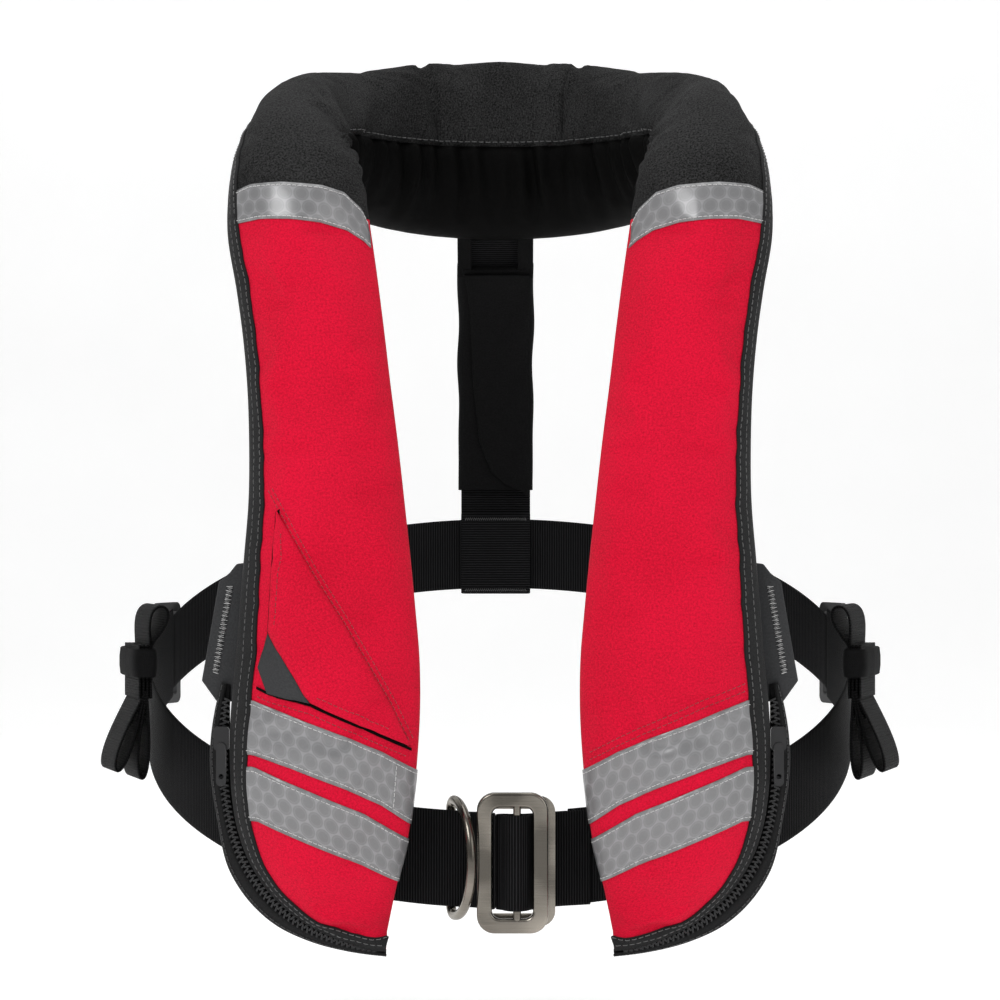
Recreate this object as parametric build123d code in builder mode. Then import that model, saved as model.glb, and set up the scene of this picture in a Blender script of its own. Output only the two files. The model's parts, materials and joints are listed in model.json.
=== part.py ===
from build123d import *

import os
from math import atan, atan2, cos, degrees, radians, sin, sqrt

# Inflatable life jacket in its worn shape, in millimetres.
# +X is to the wearer's left, +Y towards the wearer's back, +Z up.
# The origin is the middle of the neck opening, level with the lower edge of the collar.

# ---------------------------------------------------------------- driving dimensions
FABRIC = 1.2            # cover cloth with its facing
TAPE = 0.8              # reflective tape
TAPE_GAP = 0.3          # tape lies this far over the cover
BELT_WEB = 49.0         # front belt webbing, width
BACK_WEB = 40.0         # back belt and back strap webbing, width
WEB = 1.6               # webbing thickness
WAIST_HALF_X = 190.0    # waist loop, half width
WAIST_HALF_Y = 120.0    # waist loop, half depth
WAIST_Y = 10.0          # waist loop, middle
BACK_Z = -181.0         # waist loop height at the wearer's back
FRONT_Z = -333.0        # waist loop height at the front
ADJUSTER_Y = 45.0       # front belts end here and the back belt begins

# Lobe rows from the bottom up: height, inner edge, outer edge, depth position, half thickness.
LOBE_ROWS = (
    (-369, 58, 88, -124, 6),
    (-361, 56.5, 101, -124.5, 9),
    (-349, 53, 112, -125.5, 13),
    (-330, 48, 124, -127.5, 17),
    (-300, 43.5, 131, -130, 20),
    (-270, 41, 132.5, -131.5, 21.5),
    (-230, 40, 132.5, -133, 22),
    (-170, 46, 128, -133, 21.5),
    (-120, 51, 126, -132, 20.5),
    (-64, 58.5, 130, -128, 20),
    (-12, 65, 137, -120, 20),
)
# Collar rows from the shoulder to the nape: centre, outward direction, facing direction,
# half width, half thickness.
COLLAR_ROWS = (
    ((103, -102, 15), (1, 0, 0), (0, -0.85, 0.53), 34, 23),
    ((106, -70, 35), (1, 0.1, 0), (0, -0.5, 0.87), 28, 27),
    ((101, -28, 44), (0.93, 0.37, 0), (0, 0, 1), 26, 31),
    ((78, 20, 45), (0.72, 0.69, 0), (0, 0, 1), 26, 41),
    ((42, 50, 45), (0.4, 0.92, 0), (0, 0, 1), 25, 47),
)
NAPE_ROW = ((0, 60, 45), (0, 1, 0), (0, 0, 1), 25, 49)

WAIST_TILT = atan((BACK_Z - FRONT_Z) / (2 * WAIST_HALF_Y))
WAIST_Z = (BACK_Z + FRONT_Z) / 2


def save(piece, label):
    """Label a finished piece and write it as its own STEP."""
    piece.label = label
    export_step(piece, f"parts/{label}.step")


# ---------------------------------------------------------------- rows and skins
def lobe_row(height, inner, outer, depth, thick):
    """A level lobe row in the same form as the collar rows."""
    return ((inner + outer) / 2, depth, height), (1, 0, 0), (0, -1, 0), (outer - inner) / 2, thick


LOBE = [lobe_row(*row) for row in LOBE_ROWS]
SHOULDER = [LOBE[-1], *COLLAR_ROWS]


def row_plane(row, side):
    """Plane of a row on the +X (side 1) or -X (side -1) half; local -y faces away from the wearer."""
    (x, y, z), outward, facing, _, _ = row
    across = Vector(side * outward[0], outward[1], outward[2]).normalized()
    face = Vector(side * facing[0], facing[1], facing[2])
    along = across.cross(face * -1).normalized()
    return Plane(origin=(side * x, y, z), x_dir=across, z_dir=along)


def arc(half_width, half_thick, start, end):
    """Stretch of a section's oval between two angles."""
    return EllipticalCenterArc((0, 0), half_width, half_thick, start, arc_size=end - start)


def skin(rows, side, start, end, near, far):
    """Curved sheet along the rows, between two angles round the section and two offsets from it."""
    placed = [(row_plane(row, side), row[3], row[4]) for row in rows]
    return sheet_through(placed, start, end, near, far)


def sheet_through(placed, start, end, near, far):
    """Loft of arc-shaped strips; each placed row is a plane, a half width and a half thickness."""
    with BuildPart() as sheet:
        for plane, half_width, half_thick in placed:
            with BuildSketch(plane):
                with BuildLine():
                    outer = arc(half_width + far, half_thick + far, start, end)
                    inner = arc(half_width + near, half_thick + near, start, end)
                    Line(outer @ 0, inner @ 0)
                    Line(outer @ 1, inner @ 1)
                make_face()
        loft()
    return sheet.part


# ---------------------------------------------------------------- covers
FRONT = (180, 360)
BACK = (0, 180)
LINING = (3, 177)
EDGE_BIND = (-36, 24)
BIND_OFFSETS = (0.5, 2.2)
TAPE_ARC = (184, 322)


def lobe_pieces(side, word):
    """Cover, back panel and edge binding of one lobe."""
    save(skin(LOBE, side, *FRONT, -FABRIC, 0), f"{word}_lobe_cover")
    save(skin(LOBE, side, *BACK, -FABRIC, 0), f"{word}_lobe_back_panel")
    save(skin(LOBE, side, *EDGE_BIND, *BIND_OFFSETS), f"{word}_edge_binding")


def collar_sheet(start, end, near, far):
    """Sheet that runs from the right lobe round the nape to the left lobe."""
    placed = [(row_plane(row, 1), *row[3:]) for row in SHOULDER]
    placed.append((row_plane(NAPE_ROW, 1), *NAPE_ROW[3:]))
    placed += [(row_plane(row, -1), *row[3:]) for row in reversed(SHOULDER)]
    return sheet_through(placed, start, end, near, far)


def seen_from_front(piece, outline, mode, label):
    """Keep or remove what lies inside an outline drawn on the upright plane."""
    with BuildPart() as cut:
        add(piece)
        with BuildSketch(Plane.XZ.offset(-150)):
            with BuildLine():
                Polyline(*outline, close=True)
            make_face()
        extrude(amount=350, mode=mode)
    if label:
        save(cut.part, label)
    return cut.part


CENTRE_SEAMS = ((-48, 110), (48, 110), (25, 30), (-25, 30))


def collar_pieces():
    """Padded collar in three panels, its lining and its edge binding."""
    top = collar_sheet(*FRONT, -FABRIC, 0)
    seen_from_front(top, CENTRE_SEAMS, Mode.INTERSECT, "collar_centre_panel")
    shoulders = seen_from_front(top, CENTRE_SEAMS, Mode.SUBTRACT, "")
    for side, word in ((-1, "left"), (1, "right")):
        half = ((0, -50), (side * 200, -50), (side * 200, 150), (0, 150))
        seen_from_front(shoulders, half, Mode.INTERSECT, f"{word}_collar_panel")
    save(collar_sheet(*LINING, -FABRIC, 0), "collar_lining")
    save(collar_sheet(*EDGE_BIND, *BIND_OFFSETS), "collar_edge_binding")


# Each tape band: (distance from the middle, height of the upper edge, of the lower edge) at both ends.
LOWER_BANDS = (((137, -246, -273), (30, -293, -321)), ((137, -279, -306), (30, -329, -355)))
UPPER_BAND = ((145, 8, -30), (50, 3, -30))


def band_outline(side, band):
    """Four-cornered outline of a tape band."""
    (outer_x, outer_top, outer_low), (inner_x, inner_top, inner_low) = band
    return (
        (side * outer_x, outer_top),
        (side * inner_x, inner_top),
        (side * inner_x, inner_low),
        (side * outer_x, outer_low),
    )


def tapes():
    """The upper tape and the two slanting lower tapes of each side."""
    offsets = (TAPE_GAP, TAPE_GAP + TAPE)
    upper = collar_sheet(*TAPE_ARC, *offsets)
    for side, word in ((-1, "left"), (1, "right")):
        seen_from_front(upper, band_outline(side, UPPER_BAND), Mode.INTERSECT, f"{word}_upper_tape")
        lower = skin(LOBE, side, *TAPE_ARC, *offsets)
        for number, band in enumerate(LOWER_BANDS, start=1):
            label = f"{word}_lower_tape_{number}"
            seen_from_front(lower, band_outline(side, band), Mode.INTERSECT, label)


# ---------------------------------------------------------------- zip round the foot of each lobe
TEETH_PATH = ((139.3, -262), (139.3, -285), (134.5, -318), (122.5, -347), (105, -367.5), (82, -376))
STRIP_PATH = ((144.6, -252), (144.6, -284), (139.8, -320), (128, -350), (109, -372.5), (62, -381))
ZIP_Y = -124.5


def zip_band(path, side, width, front, depth, label):
    """Flat band that follows the lobe edge in a level-faced plane."""
    with BuildPart() as band:
        with BuildSketch(Plane.XZ.offset(-front)):
            with BuildLine():
                line = Spline([(side * x, z) for x, z in path])
            trace(line, line_width=width)
        extrude(amount=depth)
    save(band.part, label)


def zip_slider(side, word):
    """Slider plate in front of the teeth, with its pull tab."""
    with BuildPart() as slider:
        with BuildSketch(Plane(origin=(side * 140.2, ZIP_Y - 3.4, -270), x_dir=(1, 0, 0), z_dir=(0, -1, 0))):
            RectangleRounded(8, 12, 2)
        extrude(amount=2.2)
        with BuildSketch(Plane(origin=(side * 140.2, ZIP_Y - 5.6, -283), x_dir=(1, 0, 0), z_dir=(0, -1, 0))):
            SlotOverall(22, 5, rotation=90)
            with Locations((0, -6)):
                Circle(1.3, mode=Mode.SUBTRACT)
        extrude(amount=1.4)
    save(slider.part, f"{word}_zip_slider")


# ---------------------------------------------------------------- waist harness
def waist_ring(width, thickness=WEB):
    """Slanting oval hoop of webbing; its width stands upright at the front and back."""
    with BuildPart() as ring:
        with BuildSketch(Plane.XY.offset(WAIST_Z - 200)):
            with Locations((0, WAIST_Y)):
                Ellipse(WAIST_HALF_X + thickness / 2, WAIST_HALF_Y + thickness / 2)
                Ellipse(WAIST_HALF_X - thickness / 2, WAIST_HALF_Y - thickness / 2, mode=Mode.SUBTRACT)
        extrude(amount=400)
        lean = Plane(
            origin=(0, WAIST_Y, WAIST_Z),
            x_dir=(1, 0, 0),
            z_dir=(0, -sin(WAIST_TILT), cos(WAIST_TILT)),
        )
        with BuildSketch(lean):
            Rectangle(600, 600)
        extrude(amount=width / 2 * cos(WAIST_TILT), both=True, mode=Mode.INTERSECT)
    return ring.part


def waist_height(y):
    """Height of the middle of the waist loop at a depth."""
    return WAIST_Z + (y - WAIST_Y) * (BACK_Z - FRONT_Z) / (2 * WAIST_HALF_Y)


def waist_x(y):
    """Half width of the waist loop at a depth."""
    return WAIST_HALF_X * sqrt(1 - ((y - WAIST_Y) / WAIST_HALF_Y) ** 2)


BELT_LEFT_END = -17.0
BELT_RIGHT_END = 34.5


def belts():
    """Back belt, and the two front belts that end at the buckle."""
    with BuildPart() as back:
        add(waist_ring(BACK_WEB))
        with Locations((0, ADJUSTER_Y + 150.2, WAIST_Z)):
            Box(500, 300, 500, mode=Mode.INTERSECT)
    save(back.part, "back_belt")
    ends = (("left", BELT_LEFT_END - 300), ("right", BELT_RIGHT_END + 300))
    for word, middle in ends:
        with BuildPart() as front:
            add(waist_ring(BELT_WEB))
            with Locations((middle, ADJUSTER_Y - 150.2, WAIST_Z)):
                Box(600, 300, 600, mode=Mode.INTERSECT)
        save(front.part, f"{word}_front_belt")


def belt_adjuster(side, word):
    """Three-bar slide where the front belt meets the back belt, outside the webbing."""
    x = waist_x(ADJUSTER_Y)
    slope = atan(WAIST_HALF_Y**2 * x / (WAIST_HALF_X**2 * (ADJUSTER_Y - WAIST_Y)))
    outward = Vector(side * sin(slope), cos(slope), 0)
    foot = Vector(side * x, ADJUSTER_Y, waist_height(ADJUSTER_Y)) + outward * 2.4
    with BuildPart() as slide:
        with BuildSketch(Plane(origin=foot, x_dir=Vector(0, 0, 1).cross(outward), z_dir=outward)):
            RectangleRounded(26, 56, 4)
            with GridLocations(11, 0, 2, 1):
                RectangleRounded(7, 46, 1.5, mode=Mode.SUBTRACT)
        extrude(amount=2.4)
    save(slide.part, f"{word}_belt_adjuster")


def side_tab(side, word):
    """Rubber-faced tab at the lobe edge that keeps the waist loop in place."""
    with BuildPart() as tab:
        with BuildSketch(Plane.XZ.offset(118)):
            with BuildLine():
                Polyline(
                    (side * 137.6, -182),
                    (side * 141.5, -185),
                    (side * 143, -191),
                    (side * 151.5, -239),
                    (side * 144, -251),
                    (side * 139, -251),
                    close=True,
                )
            make_face()
        extrude(amount=3)
    save(tab.part, f"{word}_side_tab")


TAIL_Y = -60.0
TAIL_WIDTH = 38.0
# Folds of the spare webbing: top end, bottom end and width of each flattened loop.
FOLDS = (
    ((182, -210), (189, -219.5), 13),
    ((193.5, -262), (206.5, -292), 9),
    ((191.6, -262), (195, -294), 8.5),
)
PACK = (187.6, 195.6, -262.0, -226.0)
KEEPER_TOP = -228.0
KEEPER_HEIGHT = 15.0


def webbing_tail(side, word):
    """Spare front belt folded into a flat pack with one loop above it and two below."""
    inner, outer, low, top = PACK
    with BuildPart() as tail:
        with BuildSketch(Plane.XZ.offset(-TAIL_Y - TAIL_WIDTH)):
            for trim, mode in ((0, Mode.ADD), (2 * WEB, Mode.SUBTRACT)):
                for first, last, across in FOLDS:
                    run = Vector(side * (last[0] - first[0]), last[1] - first[1])
                    with Locations((side * (first[0] + last[0]) / 2, (first[1] + last[1]) / 2)):
                        SlotOverall(
                            run.length + across - trim,
                            across - trim,
                            rotation=degrees(atan2(run.Y, run.X)),
                            mode=mode,
                        )
            with Locations((side * (inner + outer) / 2, (low + top) / 2)):
                Rectangle(outer - inner, top - low)
        extrude(amount=TAIL_WIDTH)
    save(tail.part, f"{word}_webbing_tail")


def tail_keeper(side, word):
    """Elastic band round the folded pack."""
    inner, outer, _, _ = PACK
    plane = Plane.XY.offset(KEEPER_TOP - KEEPER_HEIGHT)
    with BuildPart() as keeper:
        with BuildSketch(plane):
            with Locations((side * (inner + outer) / 2, TAIL_Y + TAIL_WIDTH / 2)):
                RectangleRounded(outer - inner + 3.0, TAIL_WIDTH + 3.0, 1.4)
                Rectangle(outer - inner + 0.8, TAIL_WIDTH + 0.8, mode=Mode.SUBTRACT)
        extrude(amount=KEEPER_HEIGHT)
    save(keeper.part, f"{word}_tail_keeper")


# ---------------------------------------------------------------- back strap
STRAP_ROUTE = ((69.5, -2), (98, -40), (127, -96), (136, -150), (136, -203))
STRAP_X = -2.5
SLEEVE_ROUTE = STRAP_ROUTE[:4]
STRAP_PLANE = Plane(origin=(STRAP_X, 0, 0), x_dir=(0, 1, 0), z_dir=(1, 0, 0))


def strap_band(route, radius, thickness, width):
    """Band of webbing or cloth whose route lies in the upright front-to-back plane."""
    with BuildPart() as band:
        with BuildSketch(STRAP_PLANE):
            with BuildLine():
                path = FilletPolyline(*route, radius=radius)
            trace(path, line_width=thickness)
        extrude(amount=width / 2, both=True)
    return band.part


def back_strap_pieces():
    """Upright strap, the sleeve round it, its slide, and the loop that holds the back belt."""
    save(strap_band(STRAP_ROUTE, 40, WEB, BACK_WEB), "back_strap")
    sleeve = strap_band(SLEEVE_ROUTE, 40, 11, BACK_WEB + 4) - strap_band(SLEEVE_ROUTE, 40, 9, BACK_WEB + 2)
    save(sleeve, "back_strap_sleeve")
    with BuildPart() as loop:
        belt_middle = (WAIST_Y + WAIST_HALF_Y - 0.4, BACK_Z)
        with BuildSketch(STRAP_PLANE):
            with Locations(belt_middle):
                RectangleRounded(7.0, 46.4, 3.2)
                RectangleRounded(4.0, 43.4, 1.8, mode=Mode.SUBTRACT)
        extrude(amount=BACK_WEB / 2, both=True)
    save(loop.part, "back_strap_loop")
    with BuildPart() as slide:
        foot = Vector(STRAP_X, 116.1, -75)
        outward = Vector(0, 56, 29).normalized()
        with BuildSketch(Plane(origin=foot + outward * 1.9, x_dir=(1, 0, 0), z_dir=outward)):
            RectangleRounded(39, 20, 3)
            with GridLocations(0, 8, 1, 2):
                RectangleRounded(31, 4.4, 1, mode=Mode.SUBTRACT)
        extrude(amount=1.6)
    save(slide.part, "back_strap_adjuster")


# ---------------------------------------------------------------- buckle and ring
BUCKLE_X = 6.3
FRAME_REAR = -124.0
FRAME_THICK = 4.0
MIDDLE_BAR_X = 8.6
PLATE_REAR = -115.0
PLATE_THICK = 3.0
PLATE_BAR_X = -6.0
WEB_LOW = FRONT_Z - BELT_WEB / 2


def facing_wearer_front(x, y, z=FRONT_Z):
    """Upright plane that faces away from the wearer."""
    return Plane(origin=(x, y, z), x_dir=(1, 0, 0), z_dir=(0, -1, 0))


def belt_loop(bar, bar_radius, run, label):
    """Webbing sewn round a round bar, with the run that joins it to its front belt."""
    gap = bar_radius + 0.6
    with BuildPart() as loop:
        with BuildSketch(Plane.XY.offset(WEB_LOW)):
            with Locations(bar):
                Circle(gap + 1.5)
            with BuildLine():
                Polyline(*run, close=True)
            make_face()
            with Locations(bar):
                Circle(gap, mode=Mode.SUBTRACT)
        extrude(amount=BELT_WEB)
    save(loop.part, label)


def buckle_frame():
    """Front steel frame: a flat rounded ring with a round middle bar for the right front belt."""
    with BuildPart() as frame:
        with BuildSketch(facing_wearer_front(BUCKLE_X, FRAME_REAR)):
            RectangleRounded(36, 71, 9)
            RectangleRounded(20.6, 56, 4, mode=Mode.SUBTRACT)
        extrude(amount=FRAME_THICK)
        fillet(frame.faces().sort_by(Axis.Y)[0].edges(), 1.5)
        with Locations((MIDDLE_BAR_X, FRAME_REAR - FRAME_THICK / 2, FRONT_Z)):
            Cylinder(2.0, 58)
    save(frame.part, "buckle_frame")
    bar = (MIDDLE_BAR_X, FRAME_REAR - FRAME_THICK / 2)
    run = ((10.5, -123.4), (12.4, -124.6), (20.8, -115.4), (33.4, -109.8), (33.4, -107.0), (19.6, -112.6))
    belt_loop(bar, 2.0, run, "right_belt_loop")


def buckle_plate():
    """Rear steel plate; the left front belt is sewn round its round left bar."""
    with BuildPart() as plate:
        with BuildSketch(facing_wearer_front(10, PLATE_REAR)):
            RectangleRounded(36, 66, 8)
            with Locations((-1.25, 0)):
                RectangleRounded(29.5, 53, 2.5, mode=Mode.SUBTRACT)
        extrude(amount=PLATE_THICK)
        with Locations((PLATE_BAR_X, PLATE_REAR - PLATE_THICK / 2, FRONT_Z)):
            Cylinder(1.6, 53.6)
    save(plate.part, "buckle_plate")
    bar = (PLATE_BAR_X, PLATE_REAR - PLATE_THICK / 2)
    run = ((-16.6, -108.2), (-16.6, -110.8), (-9.4, -117.6), (-7.6, -113.8), (-13.6, -108.2))
    belt_loop(bar, 2.05, run, "left_belt_loop")


def d_ring():
    """Steel ring whose straight bar lies behind the left front belt."""
    lean = radians(20)
    towards_bow = Vector(sin(lean), -cos(lean), 0)
    plane = Plane(
        origin=(-25, -104.6, FRONT_Z + 1.0),
        x_dir=towards_bow,
        z_dir=towards_bow.cross(Vector(0, 0, 1)),
    )
    half, corner, reach = 29.2, 5.0, 31.0
    with BuildPart() as ring:
        with BuildLine(plane) as path:
            Line((0, corner - half), (0, half - corner))
            CenterArc((corner, half - corner), corner, 90, 90)
            EllipticalCenterArc((corner, 0), reach - corner, half, -90, arc_size=180)
            CenterArc((corner, corner - half), corner, 180, 90)
        route = path.wires()[0]
        with BuildSketch(Plane(origin=route @ 0, z_dir=route % 0)):
            Circle(2.5)
        sweep()
    save(ring.part, "d_ring")


# ---------------------------------------------------------------- access flap on the left lobe
FLAP_CORNERS = ((-115.5, -160), (-115.7, -215.6), (-95, -251.6), (-62, -266))
PATCH_CORNERS = ((-116, -216.6), (-119.4, -234), (-114.6, -246), (-95.8, -252.6))
FLAP_ARC = (190, 322)


def flap_pieces():
    """Access flap over the inflator and the coated corner that it is pulled open by."""
    with BuildPart() as layer:
        add(skin(LOBE, -1, *FLAP_ARC, 0.4, 1.6))
    seen_from_front(layer.part, FLAP_CORNERS, Mode.INTERSECT, "access_flap")
    seen_from_front(layer.part, PATCH_CORNERS, Mode.INTERSECT, "flap_pull_corner")


# ---------------------------------------------------------------- inflation gear inside the lobes
GEAR_X = -95.0
GEAR_Y = -132.0
LEVER_Z = -244.0
LEVER_ARM = 13.0


def upright(radius, low, high, x=GEAR_X, mode=Mode.ADD):
    """Upright cylinder at the depth of the inflation gear, made in the open builder."""
    with Locations((x, GEAR_Y, (low + high) / 2)):
        Cylinder(radius, high - low, mode=mode)


def gas_cylinder():
    """Steel gas cylinder with a domed top and a threaded neck."""
    with BuildPart() as cylinder:
        with BuildSketch(Plane(origin=(GEAR_X, GEAR_Y, 0), x_dir=(1, 0, 0), z_dir=(0, -1, 0))):
            with BuildLine():
                Line((0, -225), (0, -86))
                ThreePointArc((0, -86), (10.6, -90.6), (14.5, -100))
                Line((14.5, -100), (14.5, -195))
                ThreePointArc((14.5, -195), (12, -203.5), (6, -208))
                Polyline((6, -208), (6, -225), (0, -225))
            make_face()
        revolve(axis=Axis((GEAR_X, GEAR_Y, 0), (0, 0, 1)))
    save(cylinder.part, "gas_cylinder")


def inflator():
    """Inflator body, automatic cartridge, and the manual lever on its pin."""
    with BuildPart() as body:
        with BuildSketch(Plane.XY.offset(-258)):
            with Locations((GEAR_X, GEAR_Y)):
                RectangleRounded(24, 26, 6)
        extrude(amount=47)
        upright(6.3, -226, -200, mode=Mode.SUBTRACT)
        upright(6.3, -260, -248, mode=Mode.SUBTRACT)
        with Locations((GEAR_X - 10, GEAR_Y, LEVER_Z)):
            Cylinder(1.55, 10, rotation=(0, 90, 0), mode=Mode.SUBTRACT)
    save(body.part, "inflator_body")
    with BuildPart() as cartridge:
        upright(6.0, -259, -249)
        upright(12.0, -278, -258.3)
        fillet(cartridge.edges().filter_by(GeomType.CIRCLE).sort_by(Axis.Z)[0], 2)
    save(cartridge.part, "auto_cartridge")
    with BuildPart() as pin:
        with Locations((GEAR_X - 11.2, GEAR_Y, LEVER_Z)):
            Cylinder(1.5, 9.6, rotation=(0, 90, 0))
    save(pin.part, "lever_pin")
    with BuildPart() as lever:
        with BuildSketch(Plane(origin=(GEAR_X - 12.3, GEAR_Y, LEVER_Z), x_dir=(0, 1, 0), z_dir=(-1, 0, 0))):
            Circle(4.5)
            with Locations((0, -LEVER_ARM / 2)):
                Rectangle(6, LEVER_ARM)
            with Locations((0, -LEVER_ARM)):
                Circle(3)
            Circle(1.8, mode=Mode.SUBTRACT)
            with Locations((0, -LEVER_ARM)):
                Circle(1.2, mode=Mode.SUBTRACT)
        extrude(amount=3)
    save(lever.part, "inflator_lever")


def manual_pull():
    """Cord beside the lever and the handle at its end, both tucked inside the lobe."""
    cord_x = GEAR_X - 17.6
    with BuildPart() as cord:
        upright(1.2, -300, -229, x=cord_x)
    save(cord.part, "pull_cord")
    with BuildPart() as handle:
        with BuildSketch(Plane.XY.offset(-312)):
            with Locations((cord_x + 4.6, GEAR_Y)):
                SlotOverall(20, 9)
        extrude(amount=12)
        fillet(handle.edges().group_by(Axis.Z)[0], 2)
    save(handle.part, "pull_handle")


ORAL_X = 92.0


def oral_pieces():
    """Mouth tube with its valve and cap, and the whistle on its lanyard."""
    with BuildPart() as tube:
        upright(7.0, -190, -110, x=ORAL_X)
        upright(5.0, -188, -109, x=ORAL_X, mode=Mode.SUBTRACT)
    save(tube.part, "oral_tube")
    with BuildPart() as valve:
        upright(4.6, -140, -107, x=ORAL_X)
        fillet(valve.edges().filter_by(GeomType.CIRCLE).sort_by(Axis.Z)[-1], 1)
    save(valve.part, "oral_valve")
    with BuildPart() as cap:
        upright(9.0, -124, -98, x=ORAL_X)
        upright(7.4, -125, -100.5, x=ORAL_X, mode=Mode.SUBTRACT)
        fillet(cap.edges().filter_by(GeomType.CIRCLE).sort_by(Axis.Z)[-1], 1.5)
    save(cap.part, "oral_cap")
    with BuildPart() as whistle:
        with BuildSketch(Plane(origin=(ORAL_X, GEAR_Y - 5, -250), x_dir=(1, 0, 0), z_dir=(0, 1, 0))):
            RectangleRounded(15, 38, 4)
        extrude(amount=10)
        fillet(whistle.edges().filter_by(Axis.Y, reverse=True).group_by(Axis.Y)[0], 1.5)
    save(whistle.part, "whistle")
    with BuildPart() as lanyard:
        upright(1.2, -231, -190, x=ORAL_X)
    save(lanyard.part, "whistle_lanyard")


# Folded bladder: how far towards the neck it is shifted and how wide it is, as parts of the half width.
LOBE_FOLD = (0.58, 0.2)
COLLAR_FOLDS = ((0.4, 0.35), (0.25, 0.5), (0.1, 0.6), (0.0, 0.7), (0.0, 0.7))
FOLD_THICKNESS = 0.55


def bladder():
    """Folded inflation bladder: a pack on the neck side of each lobe, fuller round the nape."""
    folded = [(row, *LOBE_FOLD) for row in LOBE[1:]]
    folded += [(row, *fold) for row, fold in zip(COLLAR_ROWS, COLLAR_FOLDS)]
    with BuildPart() as pack:
        for side in (1, -1):
            run = [folded_section(*item, side=side) for item in folded]
            run.append(folded_section(NAPE_ROW, 0.0, 0.7, side=side))
            for plane, half_width, half_thick in run:
                with BuildSketch(plane):
                    with BuildLine():
                        arc(half_width, half_thick, 0, 180)
                        arc(half_width, half_thick, 180, 360)
                    make_face()
            loft()
    save(pack.part, "inflation_bladder")


def folded_section(row, shift, width, side):
    """Plane and half sizes of the folded bladder at a row."""
    plane = row_plane(row, side)
    origin = plane.origin - plane.x_dir * (shift * row[3])
    moved = Plane(origin, x_dir=plane.x_dir, z_dir=plane.z_dir)
    return moved, width * row[3], FOLD_THICKNESS * row[4]


# ---------------------------------------------------------------- build everything
os.makedirs("parts", exist_ok=True)
for SIDE, WORD in ((-1, "left"), (1, "right")):
    lobe_pieces(SIDE, WORD)
    zip_band(TEETH_PATH, SIDE, 4.0, ZIP_Y, 3.0, f"{WORD}_zip_teeth")
    zip_band(STRIP_PATH, SIDE, 5.0, ZIP_Y, 2.0, f"{WORD}_zip_strip")
    zip_slider(SIDE, WORD)
    belt_adjuster(SIDE, WORD)
    side_tab(SIDE, WORD)
    webbing_tail(SIDE, WORD)
    tail_keeper(SIDE, WORD)
collar_pieces()
tapes()
belts()
back_strap_pieces()
buckle_frame()
buckle_plate()
d_ring()
flap_pieces()
gas_cylinder()
inflator()
manual_pull()
oral_pieces()
bladder()
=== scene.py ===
import json
from math import cos, pi, sin

import bpy
import numpy as np
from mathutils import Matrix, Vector
from mathutils.bvhtree import BVHTree


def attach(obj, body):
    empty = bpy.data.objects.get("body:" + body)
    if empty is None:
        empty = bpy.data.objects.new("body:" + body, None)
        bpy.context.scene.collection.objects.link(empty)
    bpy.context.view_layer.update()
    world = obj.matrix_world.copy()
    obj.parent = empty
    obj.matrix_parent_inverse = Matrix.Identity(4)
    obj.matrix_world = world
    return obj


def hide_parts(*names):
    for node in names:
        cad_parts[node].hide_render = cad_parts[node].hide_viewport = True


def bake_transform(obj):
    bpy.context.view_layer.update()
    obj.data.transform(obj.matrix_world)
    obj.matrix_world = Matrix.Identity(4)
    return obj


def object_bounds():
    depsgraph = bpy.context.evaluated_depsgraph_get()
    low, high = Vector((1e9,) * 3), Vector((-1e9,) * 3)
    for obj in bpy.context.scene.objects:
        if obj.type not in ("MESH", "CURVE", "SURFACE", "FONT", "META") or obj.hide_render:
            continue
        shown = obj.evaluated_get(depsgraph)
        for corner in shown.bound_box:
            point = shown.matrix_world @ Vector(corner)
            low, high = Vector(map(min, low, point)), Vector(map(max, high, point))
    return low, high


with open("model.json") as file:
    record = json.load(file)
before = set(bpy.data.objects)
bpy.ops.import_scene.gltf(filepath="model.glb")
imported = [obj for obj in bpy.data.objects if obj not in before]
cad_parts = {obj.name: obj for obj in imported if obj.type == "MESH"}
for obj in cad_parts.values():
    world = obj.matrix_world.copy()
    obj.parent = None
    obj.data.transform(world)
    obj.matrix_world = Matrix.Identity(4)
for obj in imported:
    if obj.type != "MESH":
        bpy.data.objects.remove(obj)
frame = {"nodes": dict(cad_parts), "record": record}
cad_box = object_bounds()

# Metres, in the frame of the CAD model: +X to the wearer's left, +Y to the wearer's back, +Z up.
MM = 0.001
RIB = 2.2 * MM
SIDES_OF_THREAD = 5
JACKET = "jacket"

# ---------- camera, light and floor
CAMERA_DISTANCE = 1.84
CAMERA_HEIGHT = -0.150
LENS = 122.4
FLOOR_DROP = 0.05
FLOOR_REAR = 2.2


def build_camera():
    """Level camera straight in front of the jacket."""
    data = bpy.data.cameras.new("camera")
    data.lens = LENS
    data.sensor_width = 36
    camera = bpy.data.objects.new("camera", data)
    camera.location = (0, -CAMERA_DISTANCE, CAMERA_HEIGHT)
    camera.rotation_euler = (pi / 2, 0, 0)
    bpy.context.collection.objects.link(camera)
    bpy.context.scene.camera = camera


def area_light(name, place, size, watts):
    """Square soft box that points at the middle of the picture."""
    data = bpy.data.lights.new(name, "AREA")
    data.size = size
    data.energy = watts
    light = bpy.data.objects.new(name, data)
    light.location = place
    aim = Vector((0, 0, CAMERA_HEIGHT)) - Vector(place)
    light.rotation_euler = aim.to_track_quat("-Z", "Y").to_euler()
    bpy.context.collection.objects.link(light)


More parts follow.
